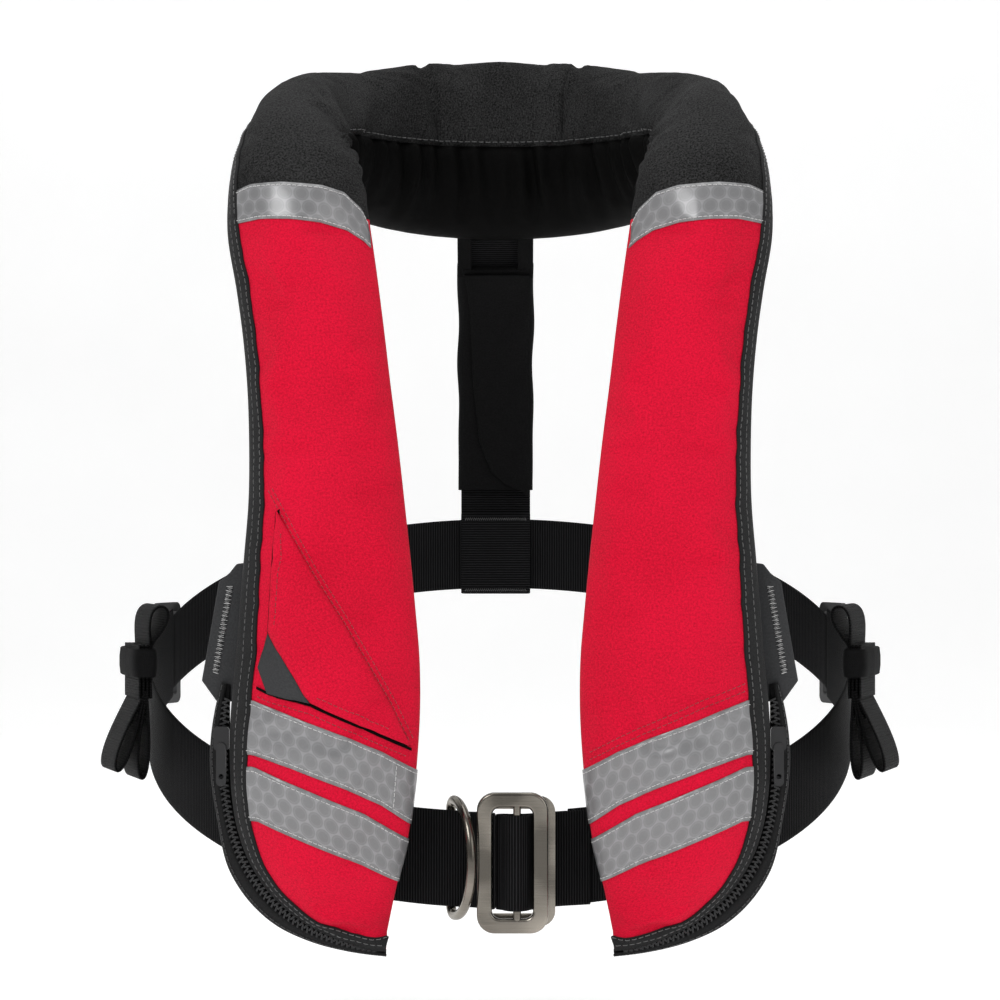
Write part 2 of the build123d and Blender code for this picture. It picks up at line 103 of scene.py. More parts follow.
def build_studio():
    """Pale floor that curves up behind, a pale world and three soft boxes."""
    world = bpy.data.worlds.new("studio")
    world.use_nodes = True
    colour, strength = world.node_tree.nodes["Background"].inputs[:2]
    colour.default_value = (1, 1, 1, 1)
    strength.default_value = 0.42
    bpy.context.scene.world = world
    area_light("key", (-1.1, -1.9, 1.5), 1.1, 30)
    area_light("fill", (1.6, -1.7, 0.5), 1.4, 9)
    area_light("top", (0, 0.3, 2.0), 1.6, 17)
    low = cad_box[0][2] - FLOOR_DROP
    bend = [step / 12 * pi / 2 for step in range(1, 13)]
    curved = [(FLOOR_REAR + sin(a), low + 1 - cos(a)) for a in bend]
    profile = [(-6.0, low), (FLOOR_REAR, low)] + curved + [(FLOOR_REAR + 1, 6.0)]
    floor = grid_object("studio_floor", np.array([[(x, y, z) for x in (-7.0, 7.0)] for y, z in profile]))
    floor.data.materials.append(plain_floor())


# ---------- mesh helpers
def mesh_object(name, vertices, faces, uvs=None, smooth=True):
    """Mesh from points, faces and one (u, v) for each point."""
    mesh = bpy.data.meshes.new(name)
    mesh.from_pydata([tuple(v) for v in vertices], [], faces)
    if uvs is not None:
        layer = mesh.uv_layers.new(name="cloth")
        order = np.empty(len(mesh.loops), int)
        mesh.loops.foreach_get("vertex_index", order)
        layer.data.foreach_set("uv", np.asarray(uvs)[order].ravel())
    mesh.polygons.foreach_set("use_smooth", [smooth] * len(mesh.polygons))
    mesh.update()
    made = bpy.data.objects.new(name, mesh)
    bpy.context.collection.objects.link(made)
    return made


def grid_faces(rows, columns, wrap=False, start=0, flip=False):
    """Quads of a grid of points, stored row by row."""
    faces = []
    for i in range(rows - 1):
        for j in range(columns if wrap else columns - 1):
            k = (j + 1) % columns
            quad = (i * columns + j, i * columns + k, (i + 1) * columns + k, (i + 1) * columns + j)
            faces.append(tuple(start + q for q in (quad[::-1] if flip else quad)))
    return faces


def grid_object(name, points):
    """Open sheet through a grid of points."""
    return mesh_object(name, points.reshape(-1, 3), grid_faces(*points.shape[:2]))


def grid_normals(points):
    """Unit normals of a grid of points, on the side where columns and then rows turn anticlockwise."""
    along = np.gradient(points, axis=0)
    across = np.gradient(points, axis=1)
    normals = np.cross(across, along)
    length = np.linalg.norm(normals, axis=2, keepdims=True)
    return normals / np.maximum(length, 1e-9)


def run_length(points):
    """Distance of each point of a line from its start."""
    return np.concatenate([[0], np.cumsum(np.linalg.norm(np.diff(points, axis=0), axis=1))])


def at_run(values, run, where):
    """Values at the distances `where`, from values given at the distances `run`."""
    return np.column_stack([np.interp(where, run, column) for column in values.T])


def metric_uv(points):
    """(u, v) of a grid in metres: v along the rows' direction, u across."""
    across = np.cumsum(np.linalg.norm(np.diff(points, axis=1), axis=2), axis=1)
    u = np.hstack([np.zeros((len(points), 1)), across])
    middle = points.shape[1] // 2
    v = np.tile(run_length(points[:, middle])[:, None], (1, points.shape[1]))
    return np.dstack([u - u[:, middle:middle + 1], v])


def closed_sheet(name, outer, inner, uv, sharp_rim=False):
    """Closed mesh of an outer and an inner grid, with quads round the rim."""
    rows, columns = outer.shape[:2]
    count = rows * columns
    faces = grid_faces(rows, columns) + grid_faces(rows, columns, start=count, flip=True)
    numbers = np.arange(count).reshape(rows, columns)
    ring = [*numbers[0], *numbers[1:, -1], *numbers[-1, -2::-1], *numbers[-2:0:-1, 0]]
    ring = [int(number) for number in ring]
    smooth = [True] * len(faces) + [not sharp_rim] * len(ring)
    faces += [(b, a, a + count, b + count) for a, b in zip(ring, ring[1:] + ring[:1])]
    vertices = np.vstack([outer.reshape(-1, 3), inner.reshape(-1, 3)])
    made = mesh_object(name, vertices, faces, np.vstack([uv.reshape(-1, 2)] * 2))
    made.data.polygons.foreach_set("use_smooth", smooth)
    return made


def thick_grid(name, points, depth, to_front=False):
    """Closed sheet: the grid is its outer face and the inner face lies depth, in mm, behind it."""
    rows, columns = points.shape[:2]
    normals = grid_normals(points)
    if to_front and normals[rows // 2, columns // 2, 1] > 0:
        points = points[:, ::-1]
        normals = grid_normals(points)
    return closed_sheet(name, points, points - normals * depth * MM, metric_uv(points), sharp_rim=True)


def finish(piece, material, nodes=(), body=JACKET):
    """Give a piece its material and body, and hide the CAD nodes that it stands for."""
    piece.data.materials.append(material)
    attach(piece, body)
    if nodes:
        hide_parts(*nodes)


# ---------- material helpers
class Shader:
    """Small wrapper that makes and links the nodes of one material."""

    def __init__(self, name):
        self.material = bpy.data.materials.new(name)
        self.material.use_nodes = True
        self.tree = self.material.node_tree
        self.surface = self.tree.nodes["Principled BSDF"]

    def node(self, kind, **settings):
        """Add a node; settings are its properties, or its inputs by name."""
        made = self.tree.nodes.new(kind)
        for key, value in settings.items():
            if hasattr(made, key):
                setattr(made, key, value)
            else:
                self.put(made.inputs[key.replace("_", " ")], value)
        return made

    def put(self, socket, value):
        """Link a socket or set a plain value."""
        if isinstance(value, bpy.types.NodeSocket):
            self.tree.links.new(value, socket)
        else:
            socket.default_value = value

    def set(self, **inputs):
        """Set inputs of the main shader, with _ for the space in a name; gives the material."""
        for key, value in inputs.items():
            self.put(self.surface.inputs[key.replace("_", " ")], value)
        return self.material

    def uv(self):
        return self.node("ShaderNodeUVMap", uv_map="cloth").outputs[0]

    def place(self):
        return self.node("ShaderNodeTexCoord").outputs["Object"]

    def scaled(self, vector, scale, rotation=(0, 0, 0)):
        return self.node("ShaderNodeMapping", Vector=vector, Scale=scale, Rotation=rotation).outputs[0]

    def noise(self, vector, scale, detail=3.0, rough=0.55):
        made = self.node("ShaderNodeTexNoise", Vector=vector, Scale=scale, Detail=detail, Roughness=rough)
        return made.outputs["Fac"]

    def wave(self, vector, scale, direction, distortion):
        made = self.node("ShaderNodeTexWave", bands_direction=direction, Vector=vector, Scale=scale,
                         Distortion=distortion, Detail_Scale=1.5)
        return made.outputs["Fac"]

    def math(self, operation, *values, kind="ShaderNodeMath"):
        """Maths node, for numbers or for vectors."""
        made = self.node(kind, operation=operation)
        for socket, value in zip(made.inputs, values):
            self.put(socket, value)
        return made.outputs[1 if operation == "LENGTH" else 0]

    def weighted(self, *terms, base=0.0):
        """Base plus the sum of (value, weight) terms."""
        for value, weight in terms:
            base = self.math("ADD", self.math("MULTIPLY", value, weight), base)
        return base

    def ramp(self, fac, *stops):
        """Colour ramp through (place, colour) stops."""
        made = self.node("ShaderNodeValToRGB")
        self.put(made.inputs[0], fac)
        band = made.color_ramp
        while len(band.elements) < len(stops):
            band.elements.new(0.5)
        for element, (place, colour) in zip(band.elements, stops):
            element.position = place
            element.color = (*colour, 1)
        return made.outputs["Color"]

    def mix(self, fac, a, b):
        made = self.node("ShaderNodeMix", data_type="RGBA", Factor=fac, A=a, B=(*b, 1))
        return made.outputs["Result"]

    def bump(self, height, strength, distance, normal=None):
        made = self.node("ShaderNodeBump", Strength=strength, Distance=distance, Height=height)
        if normal is not None:
            self.put(made.inputs["Normal"], normal)
        return made.outputs[0]


def plain_floor():
    """Almost white, matt and faintly glowing."""
    shade = Shader("pale_floor")
    speck = shade.noise(shade.place(), 3.0)
    shade.set(Base_Color=shade.ramp(speck, (0.3, (0.90, 0.90, 0.90)), (0.7, (0.93, 0.93, 0.93))))
    return shade.set(Roughness=0.9, Emission_Color=(1, 1, 1, 1), Emission_Strength=0.28)


def woven(name, light, dark, thread, rough, sheen, slub, depth, gloss=0.18, span=(0.42, 0.92)):
    """Plain-weave cloth: crossing threads, slubs, slow colour variation and sheen; sizes in mm."""
    shade = Shader(name)
    uv = shade.uv()
    turns = 0.5 / (thread * MM)
    weave = shade.math("MULTIPLY", shade.wave(uv, turns, "X", 0.6), shade.wave(uv, turns, "Y", 0.6))
    slub_across = shade.noise(shade.scaled(uv, (3200, 260, 1)), 1.0, 2.0)
    slub_along = shade.noise(shade.scaled(uv, (260, 3200, 1)), 1.0, 2.0)
    yarn = shade.weighted((slub_across, 0.5), (slub_along, 0.5))
    slow = shade.noise(shade.place(), 14.0, 4.0)
    grain = shade.noise(shade.scaled(uv, (900, 900, 1)), 1.0, 2.0, 0.8)
    tone = shade.weighted((yarn, slub), (slow, 0.38), (weave, 0.22), (grain, 1.0), base=-0.22)
    shade.set(Base_Color=shade.ramp(tone, (span[0], dark), (span[1], light)))
    shade.set(Roughness=shade.weighted((slow, 0.15), base=rough - 0.08))
    shade.set(Sheen_Weight=sheen, Sheen_Roughness=0.45, Specular_IOR_Level=gloss)
    fine = shade.bump(shade.weighted((weave, 1.0), (yarn, 1.0), (grain, 1.0)), 0.9, depth * MM)
    crumple = shade.noise(shade.place(), 55.0, 5.0, 0.6)
    return shade.set(Normal=shade.bump(crumple, 0.35, 1.1 * MM, fine))


def webbing(name, light, dark):
    """Ribbed polyester webbing: cross ribs with a fine herringbone of filaments."""
    shade = Shader(name)
    uv = shade.uv()
    ribs = shade.wave(uv, 0.5 / RIB, "Y", 0.25)
    filaments = shade.wave(shade.scaled(uv, (1, 1, 1), (0, 0, 0.6)), 700, "X", 0.8)
    slow = shade.noise(shade.place(), 22.0, 4.0)
    # The ribs also set the colour: painted shade in their valleys and painted highlight on their crests.
    tone = shade.weighted((ribs, 0.65), (filaments, 0.22), (slow, 0.25))
    shade.set(Base_Color=shade.ramp(tone, (0.45, dark), (0.98, light)))
    shade.set(Roughness=shade.weighted((slow, 0.2), base=0.5))
    shade.set(Sheen_Weight=0.0, Specular_IOR_Level=0.08)
    height = shade.weighted((ribs, 0.8), (filaments, 0.35))
    return shade.set(Normal=shade.bump(height, 0.9, 0.5 * MM))


# ---------- padded horseshoe
# Lobe rows from the foot up, in mm: inner edge (x, z), outer edge (x, z), depth position, half thickness.
LOBE_ROWS = (
    ((57.0, -370.0), (57.6, -378.5), -124, 2.6),
    ((56.8, -367.5), (71.0, -375.2), -124, 4.5),
    ((56.2, -364.0), (84.2, -370.4), -124, 7),
    ((55.2, -359.0), (102.4, -360.3), -124.5, 10.5),
    ((53.5, -351.0), (116.0, -347.8), -125, 13.5),
    ((51.0, -340.0), (126.0, -332.8), -126.5, 16.5),
    ((47.0, -324.0), (132.5, -316.0), -128, 18.5),
    ((44.0, -304.0), (135.8, -297.0), -130, 20.5),
    ((41.6, -281.0), (136.5, -274.5), -131, 21.5),
    ((40.1, -254.0), (134.8, -250.0), -132, 22),
    ((40.4, -229.0), (132.4, -227.0), -133, 22),
    ((42.4, -205.0), (130.6, -204.0), -133, 22),
    ((44.8, -180.0), (128.6, -180.0), -133, 21.5),
    ((48.0, -150.0), (126.2, -150.0), -133, 21.5),
    ((51.4, -120.0), (126.0, -120.0), -132, 21),
    ((55.0, -92.0), (127.0, -94.0), -130, 20.5),
    ((58.5, -63.0), (129.6, -66.0), -128, 20.5),
    ((61.5, -40.0), (133.0, -43.0), -125, 20.5),
    ((65.0, -16.0), (137.6, -17.0), -120, 21),
)
# Collar rows from the shoulder to the nape, in mm: centre, outward, facing, half width, half thickness.
COLLAR_ROWS = (
    ((103, -102, 15), (1, 0, 0), (0, -0.85, 0.53), 34, 23),
    ((106, -70, 35), (1, 0.1, 0), (0, -0.5, 0.87), 28, 27),
    ((101, -28, 44), (0.93, 0.37, 0), (0, 0, 1), 26, 32),
    ((78, 20, 45), (0.72, 0.69, 0), (0, 0, 1), 26, 41),
    ((42, 50, 45), (0.4, 0.92, 0), (0, 0, 1), 25, 47),
    ((0, 60, 45), (0, 1, 0), (0, 0, 1), 25, 49),
)
EDGE_ROOM = 1.6
HALF = 24
ROW_STEP = 4.6
DETAIL = 2
FRAMES = 20
# Soft diagonal folds of the lobes: height of each and its slope, in metres, and its depth in mm.
FOLD_LINES = ((-0.075, 0.5, 0.9), (-0.118, -0.35, 0.7), (-0.215, 0.6, 0.8), (-0.36, 0.5, 0.8))
MOST_MOVE = 3.2 * MM
WAVES = 5


def lobe_row(inner, outer, depth, thick):
    """Lobe row as centre, outward, facing, half width, half thickness, flatness and place."""
    inner, outer = np.array(inner, float), np.array(outer, float)
    run = outer - inner
    length = np.linalg.norm(run)
    run = run / length
    middle = (inner + outer - run * EDGE_ROOM) / 2
    half = max(length - EDGE_ROOM, 4.0) / 2
    return [middle[0], depth, middle[1], run[0], 0, run[1], 0, -1, 0, half, thick, 1.4]


def horseshoe_rows():
    """Every row from the foot of the +X lobe, round the nape, to the foot of the -X lobe."""
    rows = [lobe_row(*row) for row in LOBE_ROWS]
    for centre, outward, facing, half, thick in COLLAR_ROWS:
        rows.append([*centre, *outward, *facing, half - 1.0, thick, 1.0 if abs(centre[0]) < 104 else 1.1])
    rows = np.array(rows, float)
    mirror = rows[-2::-1].copy()
    mirror[:, [0, 3, 6]] *= -1
    return np.vstack([rows, mirror])


def resample(values, knots, wanted):
    """Smooth curve through the values at the knots."""
    slopes = np.gradient(values, knots, axis=0)
    i = np.clip(np.searchsorted(knots, wanted, side="right") - 1, 0, len(knots) - 2)
    h = (knots[i + 1] - knots[i])[:, None]
    t = (wanted - knots[i])[:, None] / h
    start = (2 * t**3 - 3 * t**2 + 1) * values[i] + (t**3 - 2 * t**2 + t) * h * slopes[i]
    return start + (3 * t**2 - 2 * t**3) * values[i + 1] + (t**3 - t**2) * h * slopes[i + 1]


def unit(vectors):
    return vectors / np.maximum(np.linalg.norm(vectors, axis=-1, keepdims=True), 1e-12)


def section(half, thick, flatness, fractions):
    """Points of one oval section at fractions of its edge; 0 is the outer edge, 1 the inner edge."""
    angle = np.linspace(0, pi, 241)
    x, y = half * np.cos(angle), thick * np.sin(angle) ** flatness
    length = np.concatenate([[0], np.cumsum(np.hypot(np.diff(x), np.diff(y)))])
    q = np.where(fractions <= 1, fractions, 2 - fractions)
    sign = np.where(fractions <= 1, 1.0, -1.0)
    where = np.interp(q * length[-1], length, angle)
    return half * np.cos(where), sign * thick * np.sin(where) ** flatness, length[-1]


def horseshoe_grid():
    """Grid of points (rows, columns) of the closed padded tube, and each row's half girth."""
    rows = horseshoe_rows()
    steps = np.maximum(np.linalg.norm(np.diff(rows[:, :3], axis=0), axis=1), 4.0)
    knots = np.concatenate([[0], np.cumsum(steps)])
    count = int(round(knots[-1] / ROW_STEP)) // 2 * 2 + 1
    fractions = np.arange(2 * HALF) / HALF
    points, girths = [], []
    for row in resample(rows, knots, np.linspace(0, knots[-1], count)):
        outward, facing = unit(row[3:6]), unit(row[6:9])
        along, back, girth = section(max(row[9], 2.0), max(row[10], 2.0), row[11], fractions)
        points.append(row[:3] + np.outer(along, outward) - np.outer(back, facing))
        girths.append(girth)
    return np.array(points) * MM, np.array(girths) * MM


def capped_tube(name, points):
    """Closed mesh of a grid that wraps round its columns, with fans of quads at both ends."""
    rows, columns = points.shape[:2]
    faces = grid_faces(rows, columns, wrap=True)
    for start, turn in ((0, 1), ((rows - 1) * columns, -1)):
        ring = [start + j for j in range(columns)]
        fan = range(columns // 2 - 1)
        faces += [(ring[j], ring[-j - 1], ring[-j - 2], ring[j + 1])[::turn] for j in fan]
    flat = points.reshape(-1, 3)
    return mesh_object(name, flat, faces, flat[:, [0, 2]])


CLOTH = {
    "quality": 6, "mass": 0.25, "tension_stiffness": 12, "compression_stiffness": 12, "shear_stiffness": 4,
    "bending_stiffness": 0.15, "vertex_group_mass": "pinned", "shrink_min": -0.035, "use_pressure": True,
    "uniform_pressure_force": 4.0,
}


def inflate(points, pinned):
    """Cloth simulation with inside pressure; the pinned points stay where they are."""
    rows, columns = points.shape[:2]
    bag = capped_tube("padding_form", points)
    group = bag.vertex_groups.new(name="pinned")
    group.add([int(index) for index in np.flatnonzero(pinned.ravel())], 1.0, "REPLACE")
    cloth = bag.modifiers.new("cloth", "CLOTH")
    for key, value in CLOTH.items():
        setattr(cloth.settings, key, value)
    cloth.settings.effector_weights.gravity = 0
    cloth.collision_settings.use_collision = False
    cloth.point_cache.frame_start = 1
    cloth.point_cache.frame_end = FRAMES
    scene = bpy.context.scene
    for step in range(1, FRAMES + 1):
        scene.frame_set(step)
        shape = bag.evaluated_get(bpy.context.evaluated_depsgraph_get())
    moved = np.empty(len(shape.data.vertices) * 3)
    shape.data.vertices.foreach_get("co", moved)
    move = moved.reshape(-1, 3)[:rows * columns].reshape(points.shape) - points
    scene.frame_set(1)
    bpy.data.objects.remove(bag, do_unlink=True)
    size = np.linalg.norm(move, axis=2, keepdims=True)
    move = move * (MOST_MOVE * np.tanh(size / MOST_MOVE) / np.maximum(size, 1e-9))
    # The bound outer edge stays straight, and so does the neck seam.
    place = np.abs(np.arange(columns) / HALF % 1 - 0.5)
    calm = np.clip((0.5 - place) / 0.30, 0, 1) ** 1.5
    return points + move * calm[None, :, None]


def finer(points):
    """Grid with DETAIL times the rows and columns, smooth in both directions; columns wrap round."""
    rows, columns = points.shape[:2]
    wanted = np.linspace(0, rows - 1, (rows - 1) * DETAIL + 1)
    flat = resample(points.reshape(rows, -1), np.arange(rows, dtype=float), wanted)
    wide = flat.reshape(-1, columns, 3)
    wide = np.concatenate([wide[:, -3:], wide, wide[:, :4]], axis=1).transpose(1, 0, 2)
    knots = np.arange(-3, columns + 4, dtype=float)
    dense = resample(wide.reshape(columns + 7, -1), knots, np.arange(columns * DETAIL) / DETAIL)
    return dense.reshape(-1, len(flat), 3).transpose(1, 0, 2)


def wrap_normals(points):
    """Outward unit normals of a grid whose columns wrap round."""
    wide = np.concatenate([points[:, -1:], points, points[:, :1]], axis=1)
    return grid_normals(wide)[:, 1:-1]



def wobble(places, length, seed):
    """Smooth one-dimensional random wave of roughly the given wavelength, from -1 to 1."""
    local = np.random.default_rng(seed)
    total = np.zeros_like(places)
    for _ in range(WAVES):
        wave = length * local.uniform(0.7, 1.6)
        total += np.sin(places / wave * 2 * pi + local.uniform(0, 2 * pi))
    return total / WAVES * 1.4


def near(value, middle, width):
    """Bell that is 1 at the middle and falls off over the width."""
    return np.exp(-(((value - middle) / width) ** 2))


def seam_distance(points, side):
    """Signed distance of points from one slanting seam of the collar's middle panel."""
    return points[..., 0] * side - (0.0245 + (points[..., 2] - 0.028) * 0.30)


def wrinkled(points, girths):
    """Add seams, puckers, pleats and creases to the smooth padded tube."""
    rows, columns = points.shape[:2]
    q = np.tile(np.arange(columns) / columns * 2, (rows, 1))
    s = np.tile(run_length(points.mean(axis=1))[:, None], (1, columns))
    x, y, z = np.moveaxis(points, -1, 0)
    collar = 1 / (1 + np.exp(-(z - 0.012) / 0.006))
    front = (q > 1).astype(float)
    neck = np.abs(q - 1) * girths[:, None]
    rim = (2 - q) * girths[:, None]
    # Neck seam of the collar: a groove, with puckers that fade away from it on both sides.
    lift = -collar * 2.2 * MM * near(neck, 0, 2.4 * MM)
    pucker = wobble(s, 0.013, 3) + 0.6 * wobble(s, 0.0075, 4)
    lift += collar * front * 1.3 * MM * pucker * np.exp(-neck / 0.016) * (1 - near(neck, 0, 2 * MM))
    # Gathered lining: pleats that run down from the neck seam.
    pleat = wobble(s + 0.004 * np.sin(neck * 60), 0.021, 5) + 0.55 * wobble(s, 0.011, 6)
    lift += collar * (1 - front) * 3.2 * MM * pleat * near(neck, 0.016, 0.03)
    # Slanting seams of the collar's middle panel.
    for side in (-1, 1):
        gap = np.where(y > -0.02, seam_distance(points, side), 1.0)
        lift -= collar * front * 2.4 * MM * near(gap, 0, 2.6 * MM)
        ripple = wobble(z + y, 0.014, 8 + side) * np.exp(-np.abs(gap) / 0.014)
        lift += collar * front * 0.7 * MM * ripple * (1 - near(gap, 0, 2 * MM))
        # Creases that fan out from the corner of the neck seam over the shoulder.
        away = points - np.array([side * 0.076, -0.05, 0.036])
        turn = np.arctan2(away[..., 2], away[..., 0] * side)
        fan = np.sin(turn * 9 + side) * near(np.linalg.norm(away, axis=2), 0.026, 0.022)
        lift += collar * front * 2.5 * MM * fan * (x * side > 0)
    # Lobes: slow dents, and short tucks along both edges.
    body = (1 - collar) * front * MM
    mirror = np.sign(x + 1e-9)
    dents = wobble(z + 0.35 * x * mirror, 0.085, 11) * wobble(x - 0.2 * z, 0.06, 12)
    lift += body * 1.5 * dents * np.minimum(neck / 0.02, 1) * np.minimum(rim / 0.02, 1)
    for edge, seed, depth in ((neck, 13, 0.75), (rim, 14, 0.25)):
        tuck = wobble(z + mirror * 0.3, 0.016, seed) * np.exp(-edge / 0.012)
        lift += body * depth * tuck * np.minimum(edge / 0.003, 1)
    # Soft diagonal folds below the shoulder and above the lower tapes.
    for level, slope, depth in FOLD_LINES:
        fold = z - (level + slope * (np.abs(x) - 0.09))
        lift -= body * depth * near(fold, 0, 5 * MM) * near(np.abs(x), 0.075, 0.03)
    return points + wrap_normals(points) * lift[..., None]


class Padding:
    """The padded tube as a fine grid, with ways to find points on it."""

    def __init__(self):
        coarse, girths = horseshoe_grid()
        rows = len(coarse)
        pinned = np.zeros(coarse.shape[:2], bool)
        pinned[:, 0] = pinned[:, HALF] = True
        pinned[:3] = pinned[-3:] = True
        for side in (-1, 1):
            gap = seam_distance(coarse, side)
            pinned |= (np.abs(gap) < 2.4 * MM) & (coarse[..., 1] > -0.02) & (coarse[..., 2] > 0.04)
        coarse = inflate(coarse, pinned)
        fine = finer(coarse)
        self.girths = np.interp(np.arange(len(fine)) / DETAIL, np.arange(rows), girths)
        self.points = wrinkled(fine, self.girths)
        self.normals = wrap_normals(self.points)
        self.rows, self.columns = self.points.shape[:2]
        self.middle = self.rows // 2
        faces = grid_faces(self.rows, self.columns, wrap=True)
        self.tree = BVHTree.FromPolygons([tuple(p) for p in self.points.reshape(-1, 3)], faces)

    def at(self, row, q):
        """Point and normal at a row number and a fraction round the section, both arrays."""
        row = np.clip(np.asarray(row, float), 0, self.rows - 1.001)
        column = np.asarray(q, float) / 2 * self.columns
        i = np.floor(row).astype(int)
        j = np.floor(column).astype(int)
        a, b = (row - i)[..., None], (column - j)[..., None]
        j, k = j % self.columns, (j + 1) % self.columns
        found = []
        for grid in (self.points, self.normals):
            low = grid[i, j] * (1 - b) + grid[i, k] * b
            high = grid[i + 1, j] * (1 - b) + grid[i + 1, k] * b
            found.append(low * (1 - a) + high * a)
        return found[0], unit(found[1])

    def per_row(self, rows, values):
        """Values of whole rows at row numbers."""
        return np.interp(rows, np.arange(self.rows), values)

    def outer_height(self, rows):
        """Height of the outer edge at row numbers."""
        return self.per_row(rows, self.points[:, 0, 2])

    def row_at_height(self, side, q, line):
        """Row number where the padding at q crosses a sloping line z = line(|x|) on one lobe."""
        numbers = np.arange(self.middle - 40 * DETAIL)
        if side < 0:
            numbers = self.rows - 1 - numbers
        places, _ = self.at(numbers, np.full(len(numbers), q))
        height = places[:, 2] - line(np.abs(places[:, 0]))
        above = np.flatnonzero(height > 0)
        first = max(int(above[0]), 1) if len(above) else len(numbers) - 1
        low, high = height[first - 1], height[first]
        return numbers[first - 1] - (numbers[first] - numbers[first - 1]) * low / (high - low)

    def hit(self, x, z):
        """Point and outward normal of the padding seen straight from the front."""
        way = Vector((0, 1, 0))
        place, normal, _, _ = self.tree.ray_cast(Vector((x, -1, z)), way)
        if place is None:
            place, normal, _, _ = self.tree.find_nearest(Vector((x, -0.14, z)))
        return np.array(place), np.array(-normal if normal.dot(way) > 0 else normal)


padding = Padding()

LEFT, RIGHT = "left", "right"
SIDES = ((-1, LEFT), (1, RIGHT))


# ---------- materials
def tape_material():
    """Silver reflective tape: a lattice of darker discs under a clear glossy film."""
    shade = Shader("reflective_tape")
    uv = shade.uv()
    pitch = 8.4 * MM
    half = (pitch / 2, pitch * 3**0.5 / 2, 1.0)
    gaps = []
    for shift in ((0, 0, 0), half):
        spot = uv
        for operation, values in (("ADD", [shift]), ("WRAP", [half, tuple(-h for h in half)]),
                                  ("MULTIPLY", [(1, 1, 0)]), ("LENGTH", [])):
            spot = shade.math(operation, spot, *values, kind="ShaderNodeVectorMath")
        gaps.append(spot)
    gap = shade.math("DIVIDE", shade.math("MINIMUM", *gaps), pitch)
    dots = shade.node("ShaderNodeTexVoronoi", distance="EUCLIDEAN", Vector=uv, Scale=700.0)
    grain = shade.math("MULTIPLY", dots.outputs["Distance"], 0.35)
    disc = shade.ramp(gap, (0.0, (0.150, 0.150, 0.153)), (0.30, (0.158, 0.158, 0.161)),
                      (0.35, (0.195, 0.195, 0.199)), (0.44, (0.172, 0.172, 0.176)),
                      (0.50, (0.26, 0.26, 0.265)))
    slow = shade.noise(shade.place(), 16.0, 3.0)
    clouded = shade.mix(shade.math("MULTIPLY", slow, 0.30), disc, (0.34, 0.34, 0.35))
    speckled = shade.mix(shade.math("MULTIPLY", grain, 0.5), clouded, (0.12, 0.12, 0.125))
    shade.set(Base_Color=speckled, Metallic=0.1)
    shade.set(Roughness=shade.weighted((slow, 0.25), base=0.25))
    shade.set(Coat_Weight=0.5, Coat_Roughness=0.16, Coat_IOR=1.42)
    ripple = shade.noise(shade.place(), 38.0, 2.0)
    return shade.set(Normal=shade.bump(ripple, 0.4, 0.8 * MM, shade.bump(gap, 0.15, 0.2 * MM)))


def thread_material(name, light, dark):
    """Twisted sewing thread."""
    shade = Shader(name)
    slow = shade.noise(shade.place(), 900.0, 2.0)
    shade.set(Base_Color=shade.ramp(slow, (0.3, dark), (0.7, light)))
    shade.set(Roughness=0.65, Sheen_Weight=0.3)
    return shade.set(Normal=shade.bump(shade.noise(shade.place(), 2600.0, 1.0), 0.5, 0.1 * MM))


def steel_material(name, tint=(0.36, 0.33, 0.285), rough=0.22):
    """Pressed and tumbled stainless steel: brushed grain, faint smears and scratches; the smears also paint
    dark reflection into the colour.
    """
    shade = Shader(name)
    place = shade.place()
    grain = shade.noise(shade.scaled(place, (60, 60, 2400)), 1.0, 4.0)
    smear_and_painted_reflection = shade.noise(place, 34.0, 1.5, 0.4)
    tone = shade.weighted((grain, 0.15), (smear_and_painted_reflection, 0.85))
    # Colour: the dark patches from the smears are painted reflection.
    shade.set(Base_Color=shade.ramp(tone, (0.36, tuple(c * 0.30 for c in tint)), (0.66, tint)), Metallic=1.0)
    shade.set(Roughness=shade.weighted((smear_and_painted_reflection, 0.16), base=rough - 0.06))
    return shade.set(Normal=shade.bump(grain, 0.12, 0.12 * MM, shade.bump(smear_and_painted_reflection, 0.1, 0.5 * MM)))


def plastic_material(name, light, dark, rough=0.42):
    """Moulded plastic with a fine grain and rubbed patches."""
    shade = Shader(name)
    place = shade.place()
    slow = shade.noise(place, 45.0, 4.0)
    shade.set(Base_Color=shade.ramp(slow, (0.3, dark), (0.75, light)))
    shade.set(Roughness=shade.weighted((slow, 0.2), base=rough - 0.1))
    shade.set(Specular_IOR_Level=0.45)
    return shade.set(Normal=shade.bump(shade.noise(place, 1500.0, 2.0), 0.25, 0.08 * MM))


# Cloths: light and dark colour, then thread in mm, roughness, sheen, slubs, depth of the bumps in mm, gloss
# and the span of tones from dark to light.
RED = woven("red_cover_cloth", (0.86, 0.0052, 0.044), (0.44, 0.0010, 0.012), 0.62, 0.85, 0.02, 0.5, 0.20,
            0.14)
# Its bright speckles are partly yarn tone and partly painted sparkle highlights on the threads.
BLACK = woven("black_cover_cloth", (0.052, 0.052, 0.0525), (0.0004, 0.0004, 0.0004), 0.95, 0.82, 0.01, 0.5,
              0.40, 0.10, (0.64, 0.93))
